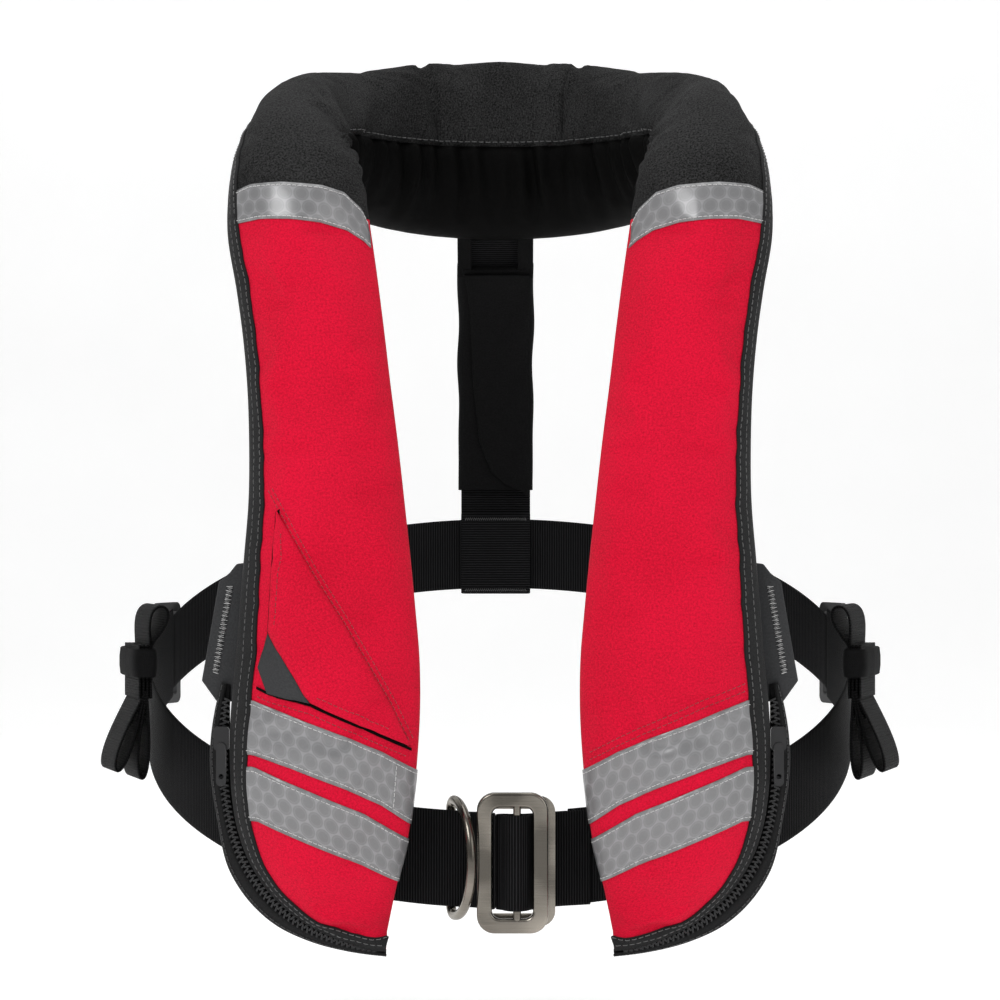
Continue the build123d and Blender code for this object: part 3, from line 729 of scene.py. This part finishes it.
# Near black: partly the lining's own black, partly painted shade under the collar.
LINING = woven("lining_cloth", (0.0032, 0.0031, 0.0030), (0.0005, 0.0005, 0.0005), 0.6, 0.6, 0.0, 0.3, 0.1,
               0.05)
BINDING = woven("binding_tape", (0.015, 0.015, 0.0155), (0.005, 0.005, 0.0053), 0.7, 0.6, 0.03, 0.3, 0.12)
SLEEVE = woven("sleeve_cloth", (0.0060, 0.0060, 0.0063), (0.0010, 0.0010, 0.0011), 0.7, 0.7, 0.0, 0.4, 0.1,
               0.08)
BLADDER = woven("bladder_cloth", (0.80, 0.36, 0.02), (0.55, 0.20, 0.01), 0.5, 0.5, 0.0, 0.2, 0.05, 0.3)
# Darker copy of the belt webbing for the folded tails: painted shade.
SHADED_SPARE_WEBBING = webbing("shaded_spare_webbing", (0.0075, 0.0075, 0.0080), (0.0001, 0.0001, 0.0002))
WEBBING = webbing("webbing", (0.024, 0.024, 0.026), (0.0002, 0.0002, 0.0003))
ELASTIC = woven("elastic", (0.006, 0.006, 0.0063), (0.002, 0.002, 0.0022), 1.1, 0.7, 0.0, 0.3, 0.15, 0.08)
RUBBER = woven("coated_tab", (0.048, 0.049, 0.051), (0.028, 0.0285, 0.030), 0.5, 0.6, 0.0, 0.2, 0.04)
TAPE = tape_material()
STEEL = steel_material("steel")
CYLINDER = steel_material("cylinder_steel", (0.30, 0.32, 0.30), 0.34)
GEAR = plastic_material("gear_plastic", (0.030, 0.030, 0.032), (0.014, 0.014, 0.015))
ZIP = plastic_material("zip_plastic", (0.018, 0.018, 0.019), (0.007, 0.007, 0.008), 0.36)
SIGNAL = plastic_material("signal_plastic", (0.75, 0.55, 0.03), (0.60, 0.40, 0.02))
TUBE = plastic_material("tube_rubber", (0.05, 0.05, 0.05), (0.02, 0.02, 0.02), 0.6)
GREY_THREAD = thread_material("grey_thread", (0.13, 0.13, 0.13), (0.06, 0.06, 0.06))
DARK_THREAD = thread_material("dark_thread", (0.060, 0.060, 0.062), (0.025, 0.025, 0.026))
PALE_THREAD = thread_material("pale_thread", (0.70, 0.70, 0.69), (0.42, 0.42, 0.42))
RED_THREAD = thread_material("red_thread", (0.42, 0.006, 0.022), (0.24, 0.003, 0.012))


# ---------- padded covers
def cover(name, first, last, half, material, slot, node):
    """Padded cover on rows first to last of the tube; half 0 is its back and half 1 its front."""
    columns = (np.arange(padding.columns // 2 + 1) + half * padding.columns // 2) % padding.columns
    piece = thick_grid(name, padding.points[first:last + 1][:, columns], 1.0)
    finish(piece, material, [node])


def top_row():
    """Row where the lobe covers meet the collar panels, behind the upper tapes."""
    spine = padding.points.mean(axis=1)[: padding.middle, 2]
    return int(np.flatnonzero(spine > -0.008)[0])


def seam_rows():
    """Rows of the two seams of the collar's middle panel."""
    front = padding.points[:, padding.columns * 3 // 4]
    gap = np.where(front[:, 1] > -0.02, seam_distance(front, 1), 1.0)
    first = int(np.flatnonzero(gap < 0)[0])
    return first, padding.rows - 1 - first


def padded_covers():
    """Covers of both lobes, the collar's panels and its lining."""
    top, last = top_row(), padding.rows - 1
    low, high = seam_rows()
    black = (BLACK, "black_cover_cloth")
    spans = ((RIGHT, 0, top, top, low), (LEFT, last - top, last, high, last - top))
    for word, start, end, neck_start, neck_end in spans:
        cover(f"{word}_padded_cover", start, end, 1, RED, "red_cover_cloth", f"{word}_lobe_cover")
        cover(f"{word}_padded_back", start, end, 0, *black, f"{word}_lobe_back_panel")
        cover(f"{word}_padded_collar", neck_start, neck_end, 1, *black, f"{word}_collar_panel")
    cover("padded_collar_middle", low, high, 1, *black, "collar_centre_panel")
    cover("gathered_lining", top, last - top, 0, LINING, "lining_cloth", "collar_lining")


# ---------- threads, stitches and bindings
def tubes(name, strands, radius):
    """One mesh of round strands; each strand is an array of points."""
    vertices, faces = [], []
    turn = np.arange(SIDES_OF_THREAD) / SIDES_OF_THREAD * 2 * pi
    for strand in strands:
        strand = np.asarray(strand, float)
        way = unit(np.gradient(strand, axis=0))
        helper = np.where(np.abs(way[:, 1:2]) < 0.9, [[0.0, 1.0, 0.0]], [[1.0, 0.0, 0.0]])
        one = unit(np.cross(way, helper))
        two = np.cross(way, one)
        start = len(vertices)
        for place, a, b in zip(strand, one, two):
            vertices.extend(place + radius * (np.outer(np.cos(turn), a) + np.outer(np.sin(turn), b)))
        faces += grid_faces(len(strand), SIDES_OF_THREAD, wrap=True, start=start)
        cap = tuple(range(start, start + SIDES_OF_THREAD))
        shift = (len(strand) - 1) * SIDES_OF_THREAD
        faces += [cap[::-1], tuple(k + shift for k in cap)]
    return mesh_object(name, vertices, faces)


def sewn(name, strands, radius, thread, slot):
    """Piece made of strands of thread, with their radius in mm."""
    finish(tubes(name, strands, radius * MM), thread)


def stitch_strands(points, normals, length=2.3, gap=1.2, lift=0.15):
    """Short arched stitches along a line on a surface; their sizes are in mm."""
    run = run_length(points)
    strands = []
    start = gap * MM
    while start + length * MM < run[-1]:
        where = start + np.array([0.0, 0.25, 0.75, 1.0]) * length * MM
        rise = np.array([-0.9, 1.0, 1.0, -0.9])[:, None] * lift * MM
        strands.append(at_run(points, run, where) + unit(at_run(normals, run, where)) * rise)
        start += (length + gap) * MM
    return strands


def row_line(rows, q, offset):
    """Line along rows of the padding at fractions q, lifted by an offset."""
    points, normals = padding.at(rows, q)
    return points + normals * offset, normals


def edge_width(rows):
    """Width over the front of the edge binding at row numbers."""
    heights = [-0.36, -0.26, -0.20, -0.10, 0.02]
    return np.interp(padding.outer_height(rows), heights, [0.0105, 0.0150, 0.0140, 0.0110, 0.0100])


def edge_start(rows):
    """Fraction round the section where the edge binding begins on the front."""
    return 2 - np.minimum(edge_width(rows) / padding.per_row(rows, padding.girths), 0.93)


def binding(name, first, last, node):
    """Folded tape over the outer edge of the padding, with two rows of stitches."""
    rows = np.arange(first, last + 1).astype(float)
    start = edge_start(rows)
    profile = ((0.0, 0.35), (0.05, 1.25), (0.25, 1.5), (0.5, 1.5), (0.72, 1.55), (0.86, 1.8), (1.0, 1.7),
               (1.08, 1.5), (1.16, 1.3), (1.2, 0.35))
    # The tape lies flatter where the zip slider runs past it.
    flat = 1 - 0.5 * near(padding.outer_height(rows), -0.292, 0.03)
    columns = []
    for share, offset in profile:
        room = flat if share > 0.6 else np.ones(len(rows))
        lift = np.maximum(offset * room, 0.35)[:, None] * MM
        columns.append(row_line(rows, start + (2 - start) * share, lift)[0])
    finish(thick_grid(name, np.stack(columns, axis=1), 0.9), BINDING, [node])
    strands = []
    for share in (0.16, 0.56):
        strands += stitch_strands(*row_line(rows, start + (2 - start) * share, 1.45 * MM))
    sewn(f"{name}_stitches", strands, 0.24, GREY_THREAD, "binding_tape")


def bindings():
    """Bindings of both lobes and of the collar."""
    top, last = top_row(), padding.rows - 1
    binding("right_folded_binding", 0, top, "right_edge_binding")
    binding("collar_folded_binding", top, last - top, "collar_edge_binding")
    binding("left_folded_binding", last - top, last, "left_edge_binding")


# ---------- reflective tapes
# Upper and lower edge of each tape band, in mm: distance from the middle, and height.
BANDS = {
    "upper_tape": (((64.9, -16.2), (69.9, -3.6), (79, 4.9), (89.5, 7.9), (109.7, 9.5), (125.2, 8.9),
                    (134.3, 5.9)),
                   ((63.9, -24.3), (68.9, -19.7), (77, -14.7), (89.5, -11.2), (104.6, -9.7), (120.2, -9.2),
                    (131.3, -10.7))),
    "lower_tape_1": (((41.7, -285.7), (59.1, -275.2), (77, -267.3), (103, -257.5), (123.3, -249.9)),
                     ((45.2, -313), (59, -302.6), (77, -293.6), (103.9, -283.2), (123.3, -277.2))),
    "lower_tape_2": (((46.2, -320.5), (68.1, -306.1), (94.9, -294.6), (122.8, -283.2)),
                     ((51.2, -342.3), (68.1, -332.9), (94.9, -321.5), (120.8, -310.5))),
}


def edge_line(points):
    """Height of a band edge, in metres, as a function of the distance from the middle."""
    x, z = np.array(points, float).T * MM
    return lambda away: np.interp(away, x, z)


def tape(side, word, band):
    """Tape laid on a lobe from the edge binding round to the inner edge, with stitched borders."""
    upper, lower = (edge_line(points) for points in BANDS[band])
    row = padding.row_at_height(side, 1.75, upper)
    begin = float(edge_start(np.array([row]))[0]) + 0.03
    shares = np.linspace(1.04 if band == "upper_tape" else 1.0, begin, 46)
    limits = np.array([[padding.row_at_height(side, q, line) for q in shares] for line in (lower, upper)])
    points, normals = padding.at(np.linspace(*limits, 14), np.tile(shares, (14, 1)))
    name = f"{word}_{band}"
    film = thick_grid(f"{name}_film", points + normals * 0.65 * MM, 0.55, to_front=True)
    finish(film, TAPE, [name])
    lines = [np.s_[1], np.s_[12]]
    if band == "lower_tape_1" and side < 0:
        lines.append(np.s_[1:13, int(np.argmin(np.abs(np.abs(points[7, :, 0]) - 0.0535)))])
    strands = []
    for line in lines:
        strands += stitch_strands(points[line] + normals[line] * 0.75 * MM, normals[line], 2.0, 0.7)
    sewn(f"{name}_stitches", strands, 0.22, PALE_THREAD, "reflective_tape")


# ---------- seams and the access flap
def even(points, count):
    """Evenly spaced points of a line given in mm, in metres."""
    points = np.array(points, float) * MM
    run = run_length(points)
    return at_run(points, run, np.linspace(0, run[-1], count))


def front_strands(lines, lift):
    """Stitches along lines given in mm as (x, z), laid on the front of the padding and lifted."""
    strands = []
    for line in lines:
        places, normals = np.array([padding.hit(x, z) for x, z in even(line, 60)]).transpose(1, 0, 2)
        strands += stitch_strands(places + normals * lift * MM, normals, 2.0, 1.0)
    return strands


FLAP_SEAM = ((-116.3, -145), (-107.8, -159.9), (-94.4, -184.8), (-79, -208.6), (-65.6, -232),
             (-54.2, -252.9), (-45.5, -272.5))
FLAP_STITCHES = (((-107.5, -166), (-109.6, -190), (-111.2, -213)), ((-91, -247.5), (-70, -257), (-56, -264)))
FLAP_EDGE = ((-110.3, -155.5), (-112.8, -186.8), (-114.5, -216), (-94.2, -250.6), (-70, -261.3),
             (-46.5, -272.8))
PATCH = ((-114.5, -216.5), (-119.6, -233.5), (-115, -246), (-94, -251.2))
LOWER_SLIT = ((-121, -243.5), (-115, -246.2), (-94, -251.8), (-70, -262.4), (-44.7, -274.8))
RIGHT_SEAM = ((122.8, -242.9), (100, -251.4), (79.5, -260.3), (60, -269.4), (44.5, -278.2))


def shifted(points, dx, dz):
    return [(x + dx, z + dz) for x, z in points]


def between(first, second, along, across, lift, start=None):
    """Sheet laid on the padding between two lines, in mm; its lift can start lower at the first line."""
    start = lift if start is None else start
    grid = np.empty((along, across, 3))
    for i, (one, two) in enumerate(zip(even(first, along), even(second, along))):
        for j, share in enumerate(np.linspace(0, 1, across)):
            place, normal = padding.hit(*(one * (1 - share) + two * share))
            grid[i, j] = place + normal * (start + (lift - start) * min(share * 6, 1)) * MM
    return grid


def facing(name, first, second, along, across, lift):
    """Dark strip that shows in a slit: a painted shadow of the gap."""
    strip = thick_grid(name, between(first, second, along, across, lift), 0.5, to_front=True)
    finish(strip, LINING)


def access_flap():
    """Flap over the gas cylinder, its dark corner, the painted shadow in the slit round it and the stitched
    seams.
    """
    cloth = between(FLAP_SEAM[1:], FLAP_EDGE, 60, 18, 1.9, 0.95)
    flap = thick_grid("access_flap_cloth", cloth, 0.9, to_front=True)
    flap.data.materials.append(RED)
    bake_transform(flap)
    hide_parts("access_flap")
    corner = between((PATCH[0], PATCH[3]), PATCH[1:3], 16, 10, 1.9)
    patch = thick_grid("flap_corner_patch", corner, 0.9, to_front=True)
    finish(patch, RUBBER, ["flap_pull_corner"], body="access_flap")
    # The dark strips under the slit edges are painted shadow of the gaps.
    facing("flap_slit_painted_shadow", shifted(FLAP_EDGE, 1, 1), shifted(FLAP_EDGE, -0.9, -0.5), 70, 4, 0.75)
    facing("lower_slit_painted_shadow", shifted(LOWER_SLIT, 0, 0.6), shifted(LOWER_SLIT, 0, -0.7), 60, 3, 0.8)
    red = (0.22, RED_THREAD, "red_cover_cloth")
    seams = (shifted(FLAP_SEAM, 2.6, 1.3), shifted(FLAP_SEAM, 0.6, 0.3), shifted(LOWER_SLIT, -0.6, -4.2))
    sewn("flap_seam_stitches", front_strands(seams, 0.15), *red)
    edge = tubes("flap_edge_stitches", front_strands(FLAP_STITCHES, 2.0), 0.22 * MM)
    edge.data.materials.append(RED_THREAD)
    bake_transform(edge)
    seams = [shifted(RIGHT_SEAM, 0, drop) for drop in (1.6, -2.2)]
    sewn("right_seam_stitches", front_strands(seams, 0.15), *red)


def collar_stitches():
    """Topstitching above the neck seam."""
    low, _ = seam_rows()
    rows = np.arange(low - 62, padding.rows + 62 - low).astype(float)
    points, normals = row_line(rows, 1 + 2.6 * MM / padding.per_row(rows, padding.girths), 0.2 * MM)
    strands = stitch_strands(points, normals, 2.4, 1.5)
    sewn("neck_seam_stitches", strands, 0.24, GREY_THREAD, "black_cover_cloth")


# ---------- zip round the foot of each lobe
ZIP_EDGE = ((136.6, -243), (137.2, -256), (137.4, -275), (136.8, -298), (133, -317), (126, -333.5),
            (115.5, -348.4), (101.5, -361), (84, -370.6), (70, -375.2), (57.4, -377.4))
ZIP_RIM = ((140.5, -242), (143.0, -251), (146.6, -279), (142.9, -311.4), (136.4, -338), (127.6, -351.8),
           (114, -364.4), (96.3, -373.0), (78.2, -377.8), (67, -379.6), (57.4, -380.6))


def curve(points, count):
    """Smooth line through points given in mm, in metres."""
    points = np.array(points, float) * MM
    knots = run_length(points)
    return resample(points, knots, np.linspace(0, knots[-1], count))


def standing(flat, side, y):
    """Points (x, z) at the depth y; side -1 mirrors them."""
    flat = np.asarray(flat, float)
    return np.column_stack([side * flat[:, 0], np.full(len(flat), y), flat[:, 1]])


def zip_strip(side, word, one, two):
    """Cloth strip outside the teeth, with its stitches."""
    profile = ((-0.12, -122.0), (0.15, -122.6), (0.36, -122.8), (0.44, -124.6), (0.6, -125.2),
               (0.85, -125.0), (0.97, -123.8), (1.0, -122.2))
    lines = [standing(one * (1 - share) + two * share, side, y * MM) for share, y in profile]
    grid = np.stack(lines, axis=1)
    strip = thick_grid(f"{word}_zip_cover_strip", grid, 1.2, to_front=True)
    finish(strip, BINDING, [f"{word}_zip_strip"])
    edge = grid[:, 5] - np.array([0, 0.25 * MM, 0])
    strands = stitch_strands(edge, np.tile([0.0, -1.0, 0.0], (len(edge), 1)))
    sewn(f"{word}_zip_strip_stitches", strands, 0.2, DARK_THREAD, "binding_tape")


def zip_pieces(side, word):
    """Outer strip and the chain of teeth between it and the edge binding."""
    one, two = curve(ZIP_EDGE, 120), curve(ZIP_RIM, 120)
    zip_strip(side, word, one, two)
    middle = one * 0.76 + two * 0.24
    run = run_length(middle)
    way = unit(np.gradient(middle, axis=0))
    vertices, faces = [], []
    cube = [(0, 1, 3, 2), (4, 6, 7, 5), (0, 4, 5, 1), (2, 3, 7, 6), (0, 2, 6, 4), (1, 5, 7, 3)]
    for number, where in enumerate(np.arange(8 * MM, run[-1] - 4 * MM, 1.35 * MM)):
        along = at_run(way, run, where)[0]
        aside = np.array([-along[1], along[0]])
        turn = 1 if number % 2 else -1
        middle_spot = at_run(middle, run, where)[0] + aside * 0.7 * MM * turn
        start = len(vertices)
        for a in (-0.52, 0.52):
            for b in (-1.5, 1.5):
                x, z = middle_spot + along * (a + 0.35 * b * turn) * MM + aside * b * MM
                vertices += [(x * side, y * MM, z) for y in (-124.9, -122.6)]
        faces += [tuple(start + k for k in face[::side]) for face in cube]
    teeth = mesh_object(f"{word}_zip_chain", vertices, faces, smooth=False)
    finish(teeth, ZIP, [f"{word}_zip_teeth"])


# ---------- side tabs
TAB = ((128, -181.6), (133.2, -182.3), (136.7, -186.8), (142.2, -191.4), (146.8, -218.6), (150.8, -241.3),
       (143.2, -251.9), (135, -251.9))


def side_tab(side, word):
    """Rubber-faced tab with a pale zigzag bar tack."""
    vertices = np.vstack([standing(TAB, side, y) for y in (-121.4, -118.6)]) * MM
    count = len(TAB)
    faces = [tuple(range(count)), tuple(reversed(range(count, 2 * count)))]
    faces += [(j, j + count, (j + 1) % count + count, (j + 1) % count) for j in range(count)]
    faces = [face[::side] for face in faces]
    tab = mesh_object(f"{word}_rubber_tab", vertices, faces, vertices[:, [0, 2]], smooth=False)
    bevel = tab.modifiers.new("soft_edges", "BEVEL")
    bevel.width = 0.7 * MM
    bevel.segments = 3
    finish(tab, RUBBER, [f"{word}_side_tab"])
    start, end = np.array((136.4, -193.5)), np.array((143.9, -237.5))
    way = unit(end - start)
    aside = np.array([-way[1], way[0]])
    steps = 92
    strand = []
    for k in range(steps + 1):
        swing = (1.35 if k % 2 else -1.35) + 0.35 * sin(k * 1.7)
        strand.append(start + (end - start) * k / steps + aside * swing)
    strand = standing(strand, side, -121.65) * MM
    sewn(f"{word}_tab_bar_tack", [strand], 0.34, PALE_THREAD, "coated_tab")


# ---------- webbing
WEB = 1.6 * MM
WAIST_HALF_X, WAIST_HALF_Y, WAIST_Y = 190 * MM, 120 * MM, 10 * MM
BACK_Z, FRONT_Z = -181 * MM, -333 * MM


def ribbon(name, path, sideways, width, nodes=(), body=JACKET, material=None, thickness=WEB):
    """Webbing of a real width, in mm, along a path; sideways is the direction across it."""
    path = np.asarray(path, float)
    sideways = np.broadcast_to(np.asarray(sideways, float), path.shape)
    shares = np.array([-0.5, -0.485, -0.45, -0.3, -0.1, 0.1, 0.3, 0.45, 0.485, 0.5])
    thin = np.array([0.35, 0.8, 1, 1, 1, 1, 1, 1, 0.8, 0.35])
    across = shares * width * MM
    normal = unit(np.cross(sideways, unit(np.gradient(path, axis=0))))
    middle = path[:, None] + sideways[:, None] * across[:, None]
    lift = normal[:, None] * (thin * thickness / 2)[:, None]
    uv = metric_uv(middle)
    uv[..., 0] = across
    piece = closed_sheet(name, middle + lift, middle - lift, uv)
    finish(piece, material or WEBBING, nodes, body=body)


def waist_path(start, end, count):
    """Middle line of the waist loop; angle 0 is at the front and grows towards the wearer's left."""
    angle = np.linspace(start, end, count)
    y = WAIST_Y - WAIST_HALF_Y * np.cos(angle)
    z = FRONT_Z + (y - WAIST_Y + WAIST_HALF_Y) * (BACK_Z - FRONT_Z) / (2 * WAIST_HALF_Y)
    return np.column_stack([WAIST_HALF_X * np.sin(angle), y, z])


JOIN = float(np.arccos(-35 / 120))
UP = (0, 0, 1)
ACROSS = (1, 0, 0)
# Webbing round the buckle's bars, seen from above, in mm.
RIGHT_LOOP = ((46, -107.9), (36, -109.2), (27, -111.4), (20, -116.0), (15.5, -121.6), (12.4, -127.2),
              (8.6, -129.6), (4.4, -128.0), (1.0, -122.6), (-1.6, -119.4), (0.8, -117.4), (7, -118.4),
              (14, -116.8), (20, -112.4), (28, -109.4), (36, -107.4), (46, -105.4))
LEFT_LOOP = ((-18, -108.9), (-13, -110.6), (-9.6, -114.6), (-8.8, -117.4), (-6.4, -119.6), (-3.4, -118.2),
             (-3.0, -115.2), (-5.6, -113.2), (-10, -110.0), (-18, -107.4))


def waist_belts():
    """Front belts, back belt, and the webbing sewn round the buckle's bars."""
    ribbon("left_front_webbing", waist_path(-0.0896, -JOIN, 110), UP, 49, ["left_front_belt"])
    ribbon("right_front_webbing", waist_path(0.1826, JOIN, 110), UP, 49, ["right_front_belt"])
    ribbon("back_webbing", waist_path(JOIN, 2 * pi - JOIN, 120), UP, 40, ["back_belt"])
    for word, outline, width in ((RIGHT, RIGHT_LOOP, 48.2), (LEFT, LEFT_LOOP, 48.6)):
        path = curve(outline, 90)
        climb = np.clip((path[:, 0] - 18 * MM) / (28 * MM), 0, 1) * 1.1 * MM
        path = np.column_stack([path, FRONT_Z + climb])
        ribbon(f"{word}_buckle_loop", path, UP, width, [f"{word}_belt_loop"])


TAIL_Y = -41 * MM
TAIL_TURN = 0.32
# Loops of spare webbing, in mm: where each is pinched, its far end, and its width.
FOLDS = (
    ((189.0, -228.0), (182.0, -206.0), 13.0),
    ((191.2, -250.0), (206.0, -292.0), 9.0),
    ((190.4, -250.0), (193.0, -296.0), 8.0),
)
# Rings of the elastic keeper, outside and then inside: height and swelling in mm, and two scales.
KEEPER_RINGS = ((-243, -0.9, 1, 1), (-242.4, 0, 1, 1), (-238, 0.5, 1, 1), (-233, 0.5, 1, 1),
                (-228.6, 0, 1, 1), (-228, -0.9, 1, 1), (-228.6, 0, 0.86, 0.96), (-242.4, 0, 0.86, 0.96))


def boxy(wave, power):
    """Sine or cosine raised to a power, with its sign: it turns a circle into a rounded box."""
    return np.sign(wave) * np.abs(wave) ** power


def tail(side, word):
    """Spare webbing folded into a pack, with one loop above and two below the elastic keeper."""
    body = f"{word}_webbing_tail"
    across = unit(np.array([TAIL_TURN * side, 1.0, 0.0]))
    turn = np.linspace(0.05, 2 * pi - 0.05, 64)
    for number, (pinch, far, width) in enumerate(FOLDS, start=1):
        run = np.array(far) - pinch
        aside = np.array([-run[1], run[0]]) / np.linalg.norm(run)
        spread = np.sin(turn) * np.sin(turn / 2) ** 1.6 * width / 2
        flat = pinch + np.outer((1 - np.cos(turn)) / 2, run) + np.outer(spread, aside)
        path = standing(flat * MM, side, TAIL_Y)
        ribbon(f"{word}_tail_loop_{number}", path, across, 38, [body] if number == 1 else [], body, SHADED_SPARE_WEBBING)
    for number, x in enumerate((188.4, 190.2, 192.2, 194.2), start=1):
        path = standing([(x * MM, z * MM) for z in np.linspace(-226, -254, 10)], side, TAIL_Y)
        ribbon(f"{word}_tail_layer_{number}", path, across, 38, [], body, SHADED_SPARE_WEBBING)


def keeper(side, word):
    """Elastic ring round the folded webbing."""
    count = 48
    angle = np.linspace(0, 2 * pi, count, endpoint=False)
    a, b = boxy(np.cos(angle), 0.45) * 6.4, boxy(np.sin(angle), 0.3) * 20.6
    rings = []
    for z, grow, thin, deep in KEEPER_RINGS:
        x = 191.4 + a * thin + np.sign(a) * grow + TAIL_TURN * b
        rings.append(np.column_stack([side * x * MM, TAIL_Y + b * deep * MM, np.full(count, z * MM)]))
    last = (len(rings) - 1) * count
    faces = grid_faces(len(rings), count, wrap=True)
    faces += [(last + j, last + (j + 1) % count, (j + 1) % count, j) for j in range(count)]
    uvs = [(j * 2.2 * MM, i * 4 * MM) for i in range(len(rings)) for j in range(count)]
    made = mesh_object(f"{word}_elastic_keeper", np.vstack(rings), [face[::side] for face in faces], uvs)
    node = f"{word}_tail_keeper"
    finish(made, ELASTIC, [node], body=node)


STRAP_ROUTE = ((67.5, 1.0), (83, -20), (98, -41), (113, -68), (126, -97), (133.5, -124), (136, -150),
               (136, -203))
STRAP_X = -2.5 * MM


def strap_line(count, first=0.0, last=1.0, push=0.0):
    """Path of the back strap, pushed towards the wearer by an amount in mm."""
    flat = curve(STRAP_ROUTE, 400)[int(first * 399):int(last * 399) + 1]
    flat = flat[np.linspace(0, len(flat) - 1, count).astype(int)]
    way = unit(np.gradient(flat, axis=0))
    flat = flat + push * MM * np.column_stack([way[:, 1], -way[:, 0]])
    return np.column_stack([np.full(count, STRAP_X), flat])


def strap_sleeve():
    """Fabric sleeve round the strap, and its overlapping edge."""
    columns, rows = 56, 90
    line = strap_line(rows, 0.105, 0.735)
    rear = np.cross(ACROSS, unit(np.gradient(line, axis=0)))
    angle = np.arange(columns) / columns * 2 * pi
    a = boxy(np.cos(angle), 0.35) * 21.6 * MM
    b = boxy(np.sin(angle), 0.55) * 5.5 * MM
    swell = 1 + 0.08 * wobble(np.arange(rows) * 1.0, 26, 21)
    grid = line[:, None] + a[:, None] * np.array(ACROSS) + (swell[:, None] * b)[..., None] * rear[:, None]
    grid[..., 0] += 0.5 * MM * wobble(grid[..., 2], 0.05, 22)
    finish(capped_tube("strap_sleeve", grid), SLEEVE, ["back_strap_sleeve"])
    fold_x = np.array([-17.5, -15.5, -14.3, -12.5, -9.0, -2.6, 6.0, 17.0]) * MM
    fold_s = np.array([0.0, 0.12, 0.25, 0.55, 0.78, 0.90, 0.955, 0.985])
    edge = 1.2 * MM * np.linspace(0, 1, 24) ** 8
    grid = np.empty((rows, 24, 3))
    for i, place in enumerate(strap_line(rows, 0.115, 0.75, 7.2)):
        x = np.linspace(np.interp(i / (rows - 1), fold_s, fold_x), 19.6 * MM, 24)
        ripple = 0.5 * MM * wobble(x + i * 0.0006, 0.02, 23)
        grid[i] = place + np.column_stack([x, edge + ripple, np.zeros(24)])
    flap = thick_grid("strap_sleeve_overlap", grid, 1.1, to_front=True)
    finish(flap, SLEEVE)
    for word, low, high in (("left", -21.4, -13.5), ("right", 12.5, 21.2)):
        line = strap_line(30, 0.0, 0.13, 4.0) + np.array([(low + high) / 2 * MM, 0, 0])
        ribbon(f"sleeve_neck_{word}", line, ACROSS, high - low, material=SLEEVE)


def back_strap():
    """Strap, its fabric sleeve, and the loop that holds the back belt."""
    ribbon("back_strap_webbing", strap_line(120), ACROSS, 40, ["back_strap"])
    strap_sleeve()
    turn = np.linspace(0, 2 * pi, 120)
    y = 129.6 + 3.0 * boxy(np.cos(turn), 0.4)
    z = -181.0 + 22.6 * boxy(np.sin(turn), 0.4)
    path = np.column_stack([np.full(120, STRAP_X), y * MM, z * MM])
    ribbon("belt_keeper_loop", path, ACROSS, 40, ["back_strap_loop"], thickness=1.4 * MM)
    strands = []
    for y, height in ((125.3, -161.0), (125.6, -202.0)):
        strand = [(-20 + 35 * k / 60, y, height + (0.7 if k % 2 else -0.7)) for k in range(61)]
        strands.append(np.array(strand) * MM)
    sewn("belt_keeper_bar_tacks", strands, 0.26, GREY_THREAD, "webbing")


# ---------- parts carried over from the CAD
def folded_bladder():
    """The bladder packed flat inside the covers, with creases across its folds."""
    source = frame["nodes"]["inflation_bladder"]
    points = np.array([tuple(source.matrix_world @ v.co) for v in source.data.vertices])
    x, z = points[:, 0], points[:, 2]
    points[:, 1] += 0.7 * MM * wobble(x + 0.6 * z, 0.018, 31) * wobble(z - x, 0.05, 32)
    faces = [tuple(p.vertices) for p in source.data.polygons]
    piece = mesh_object("folded_bladder", points, faces, points[:, [0, 2]])
    finish(piece, BLADDER, ["inflation_bladder"])


def carried_over():
    """Procedural materials for the hard parts."""
    looks = {"steel": STEEL, "cylinder_steel": CYLINDER, "gear_plastic": GEAR, "zip_plastic": ZIP,
             "signal_plastic": SIGNAL, "tube_rubber": TUBE}
    for part in frame["record"]["subparts"]:
        node = frame["nodes"][part["node"]]
        if part["material_slot"] in looks:
            node.data.materials.clear()
            node.data.materials.append(looks[part["material_slot"]])


def both_sides():
    """Tapes, zip, tab and spare webbing of each side."""
    for side, word in SIDES:
        for band in BANDS:
            tape(side, word, band)
        zip_pieces(side, word)
        side_tab(side, word)
        tail(side, word)
        keeper(side, word)


padded_covers()
bindings()
both_sides()
access_flap()
collar_stitches()
waist_belts()
back_strap()
folded_bladder()
carried_over()
build_camera()
build_studio()
bpy.context.scene.view_settings.view_transform = "Standard"
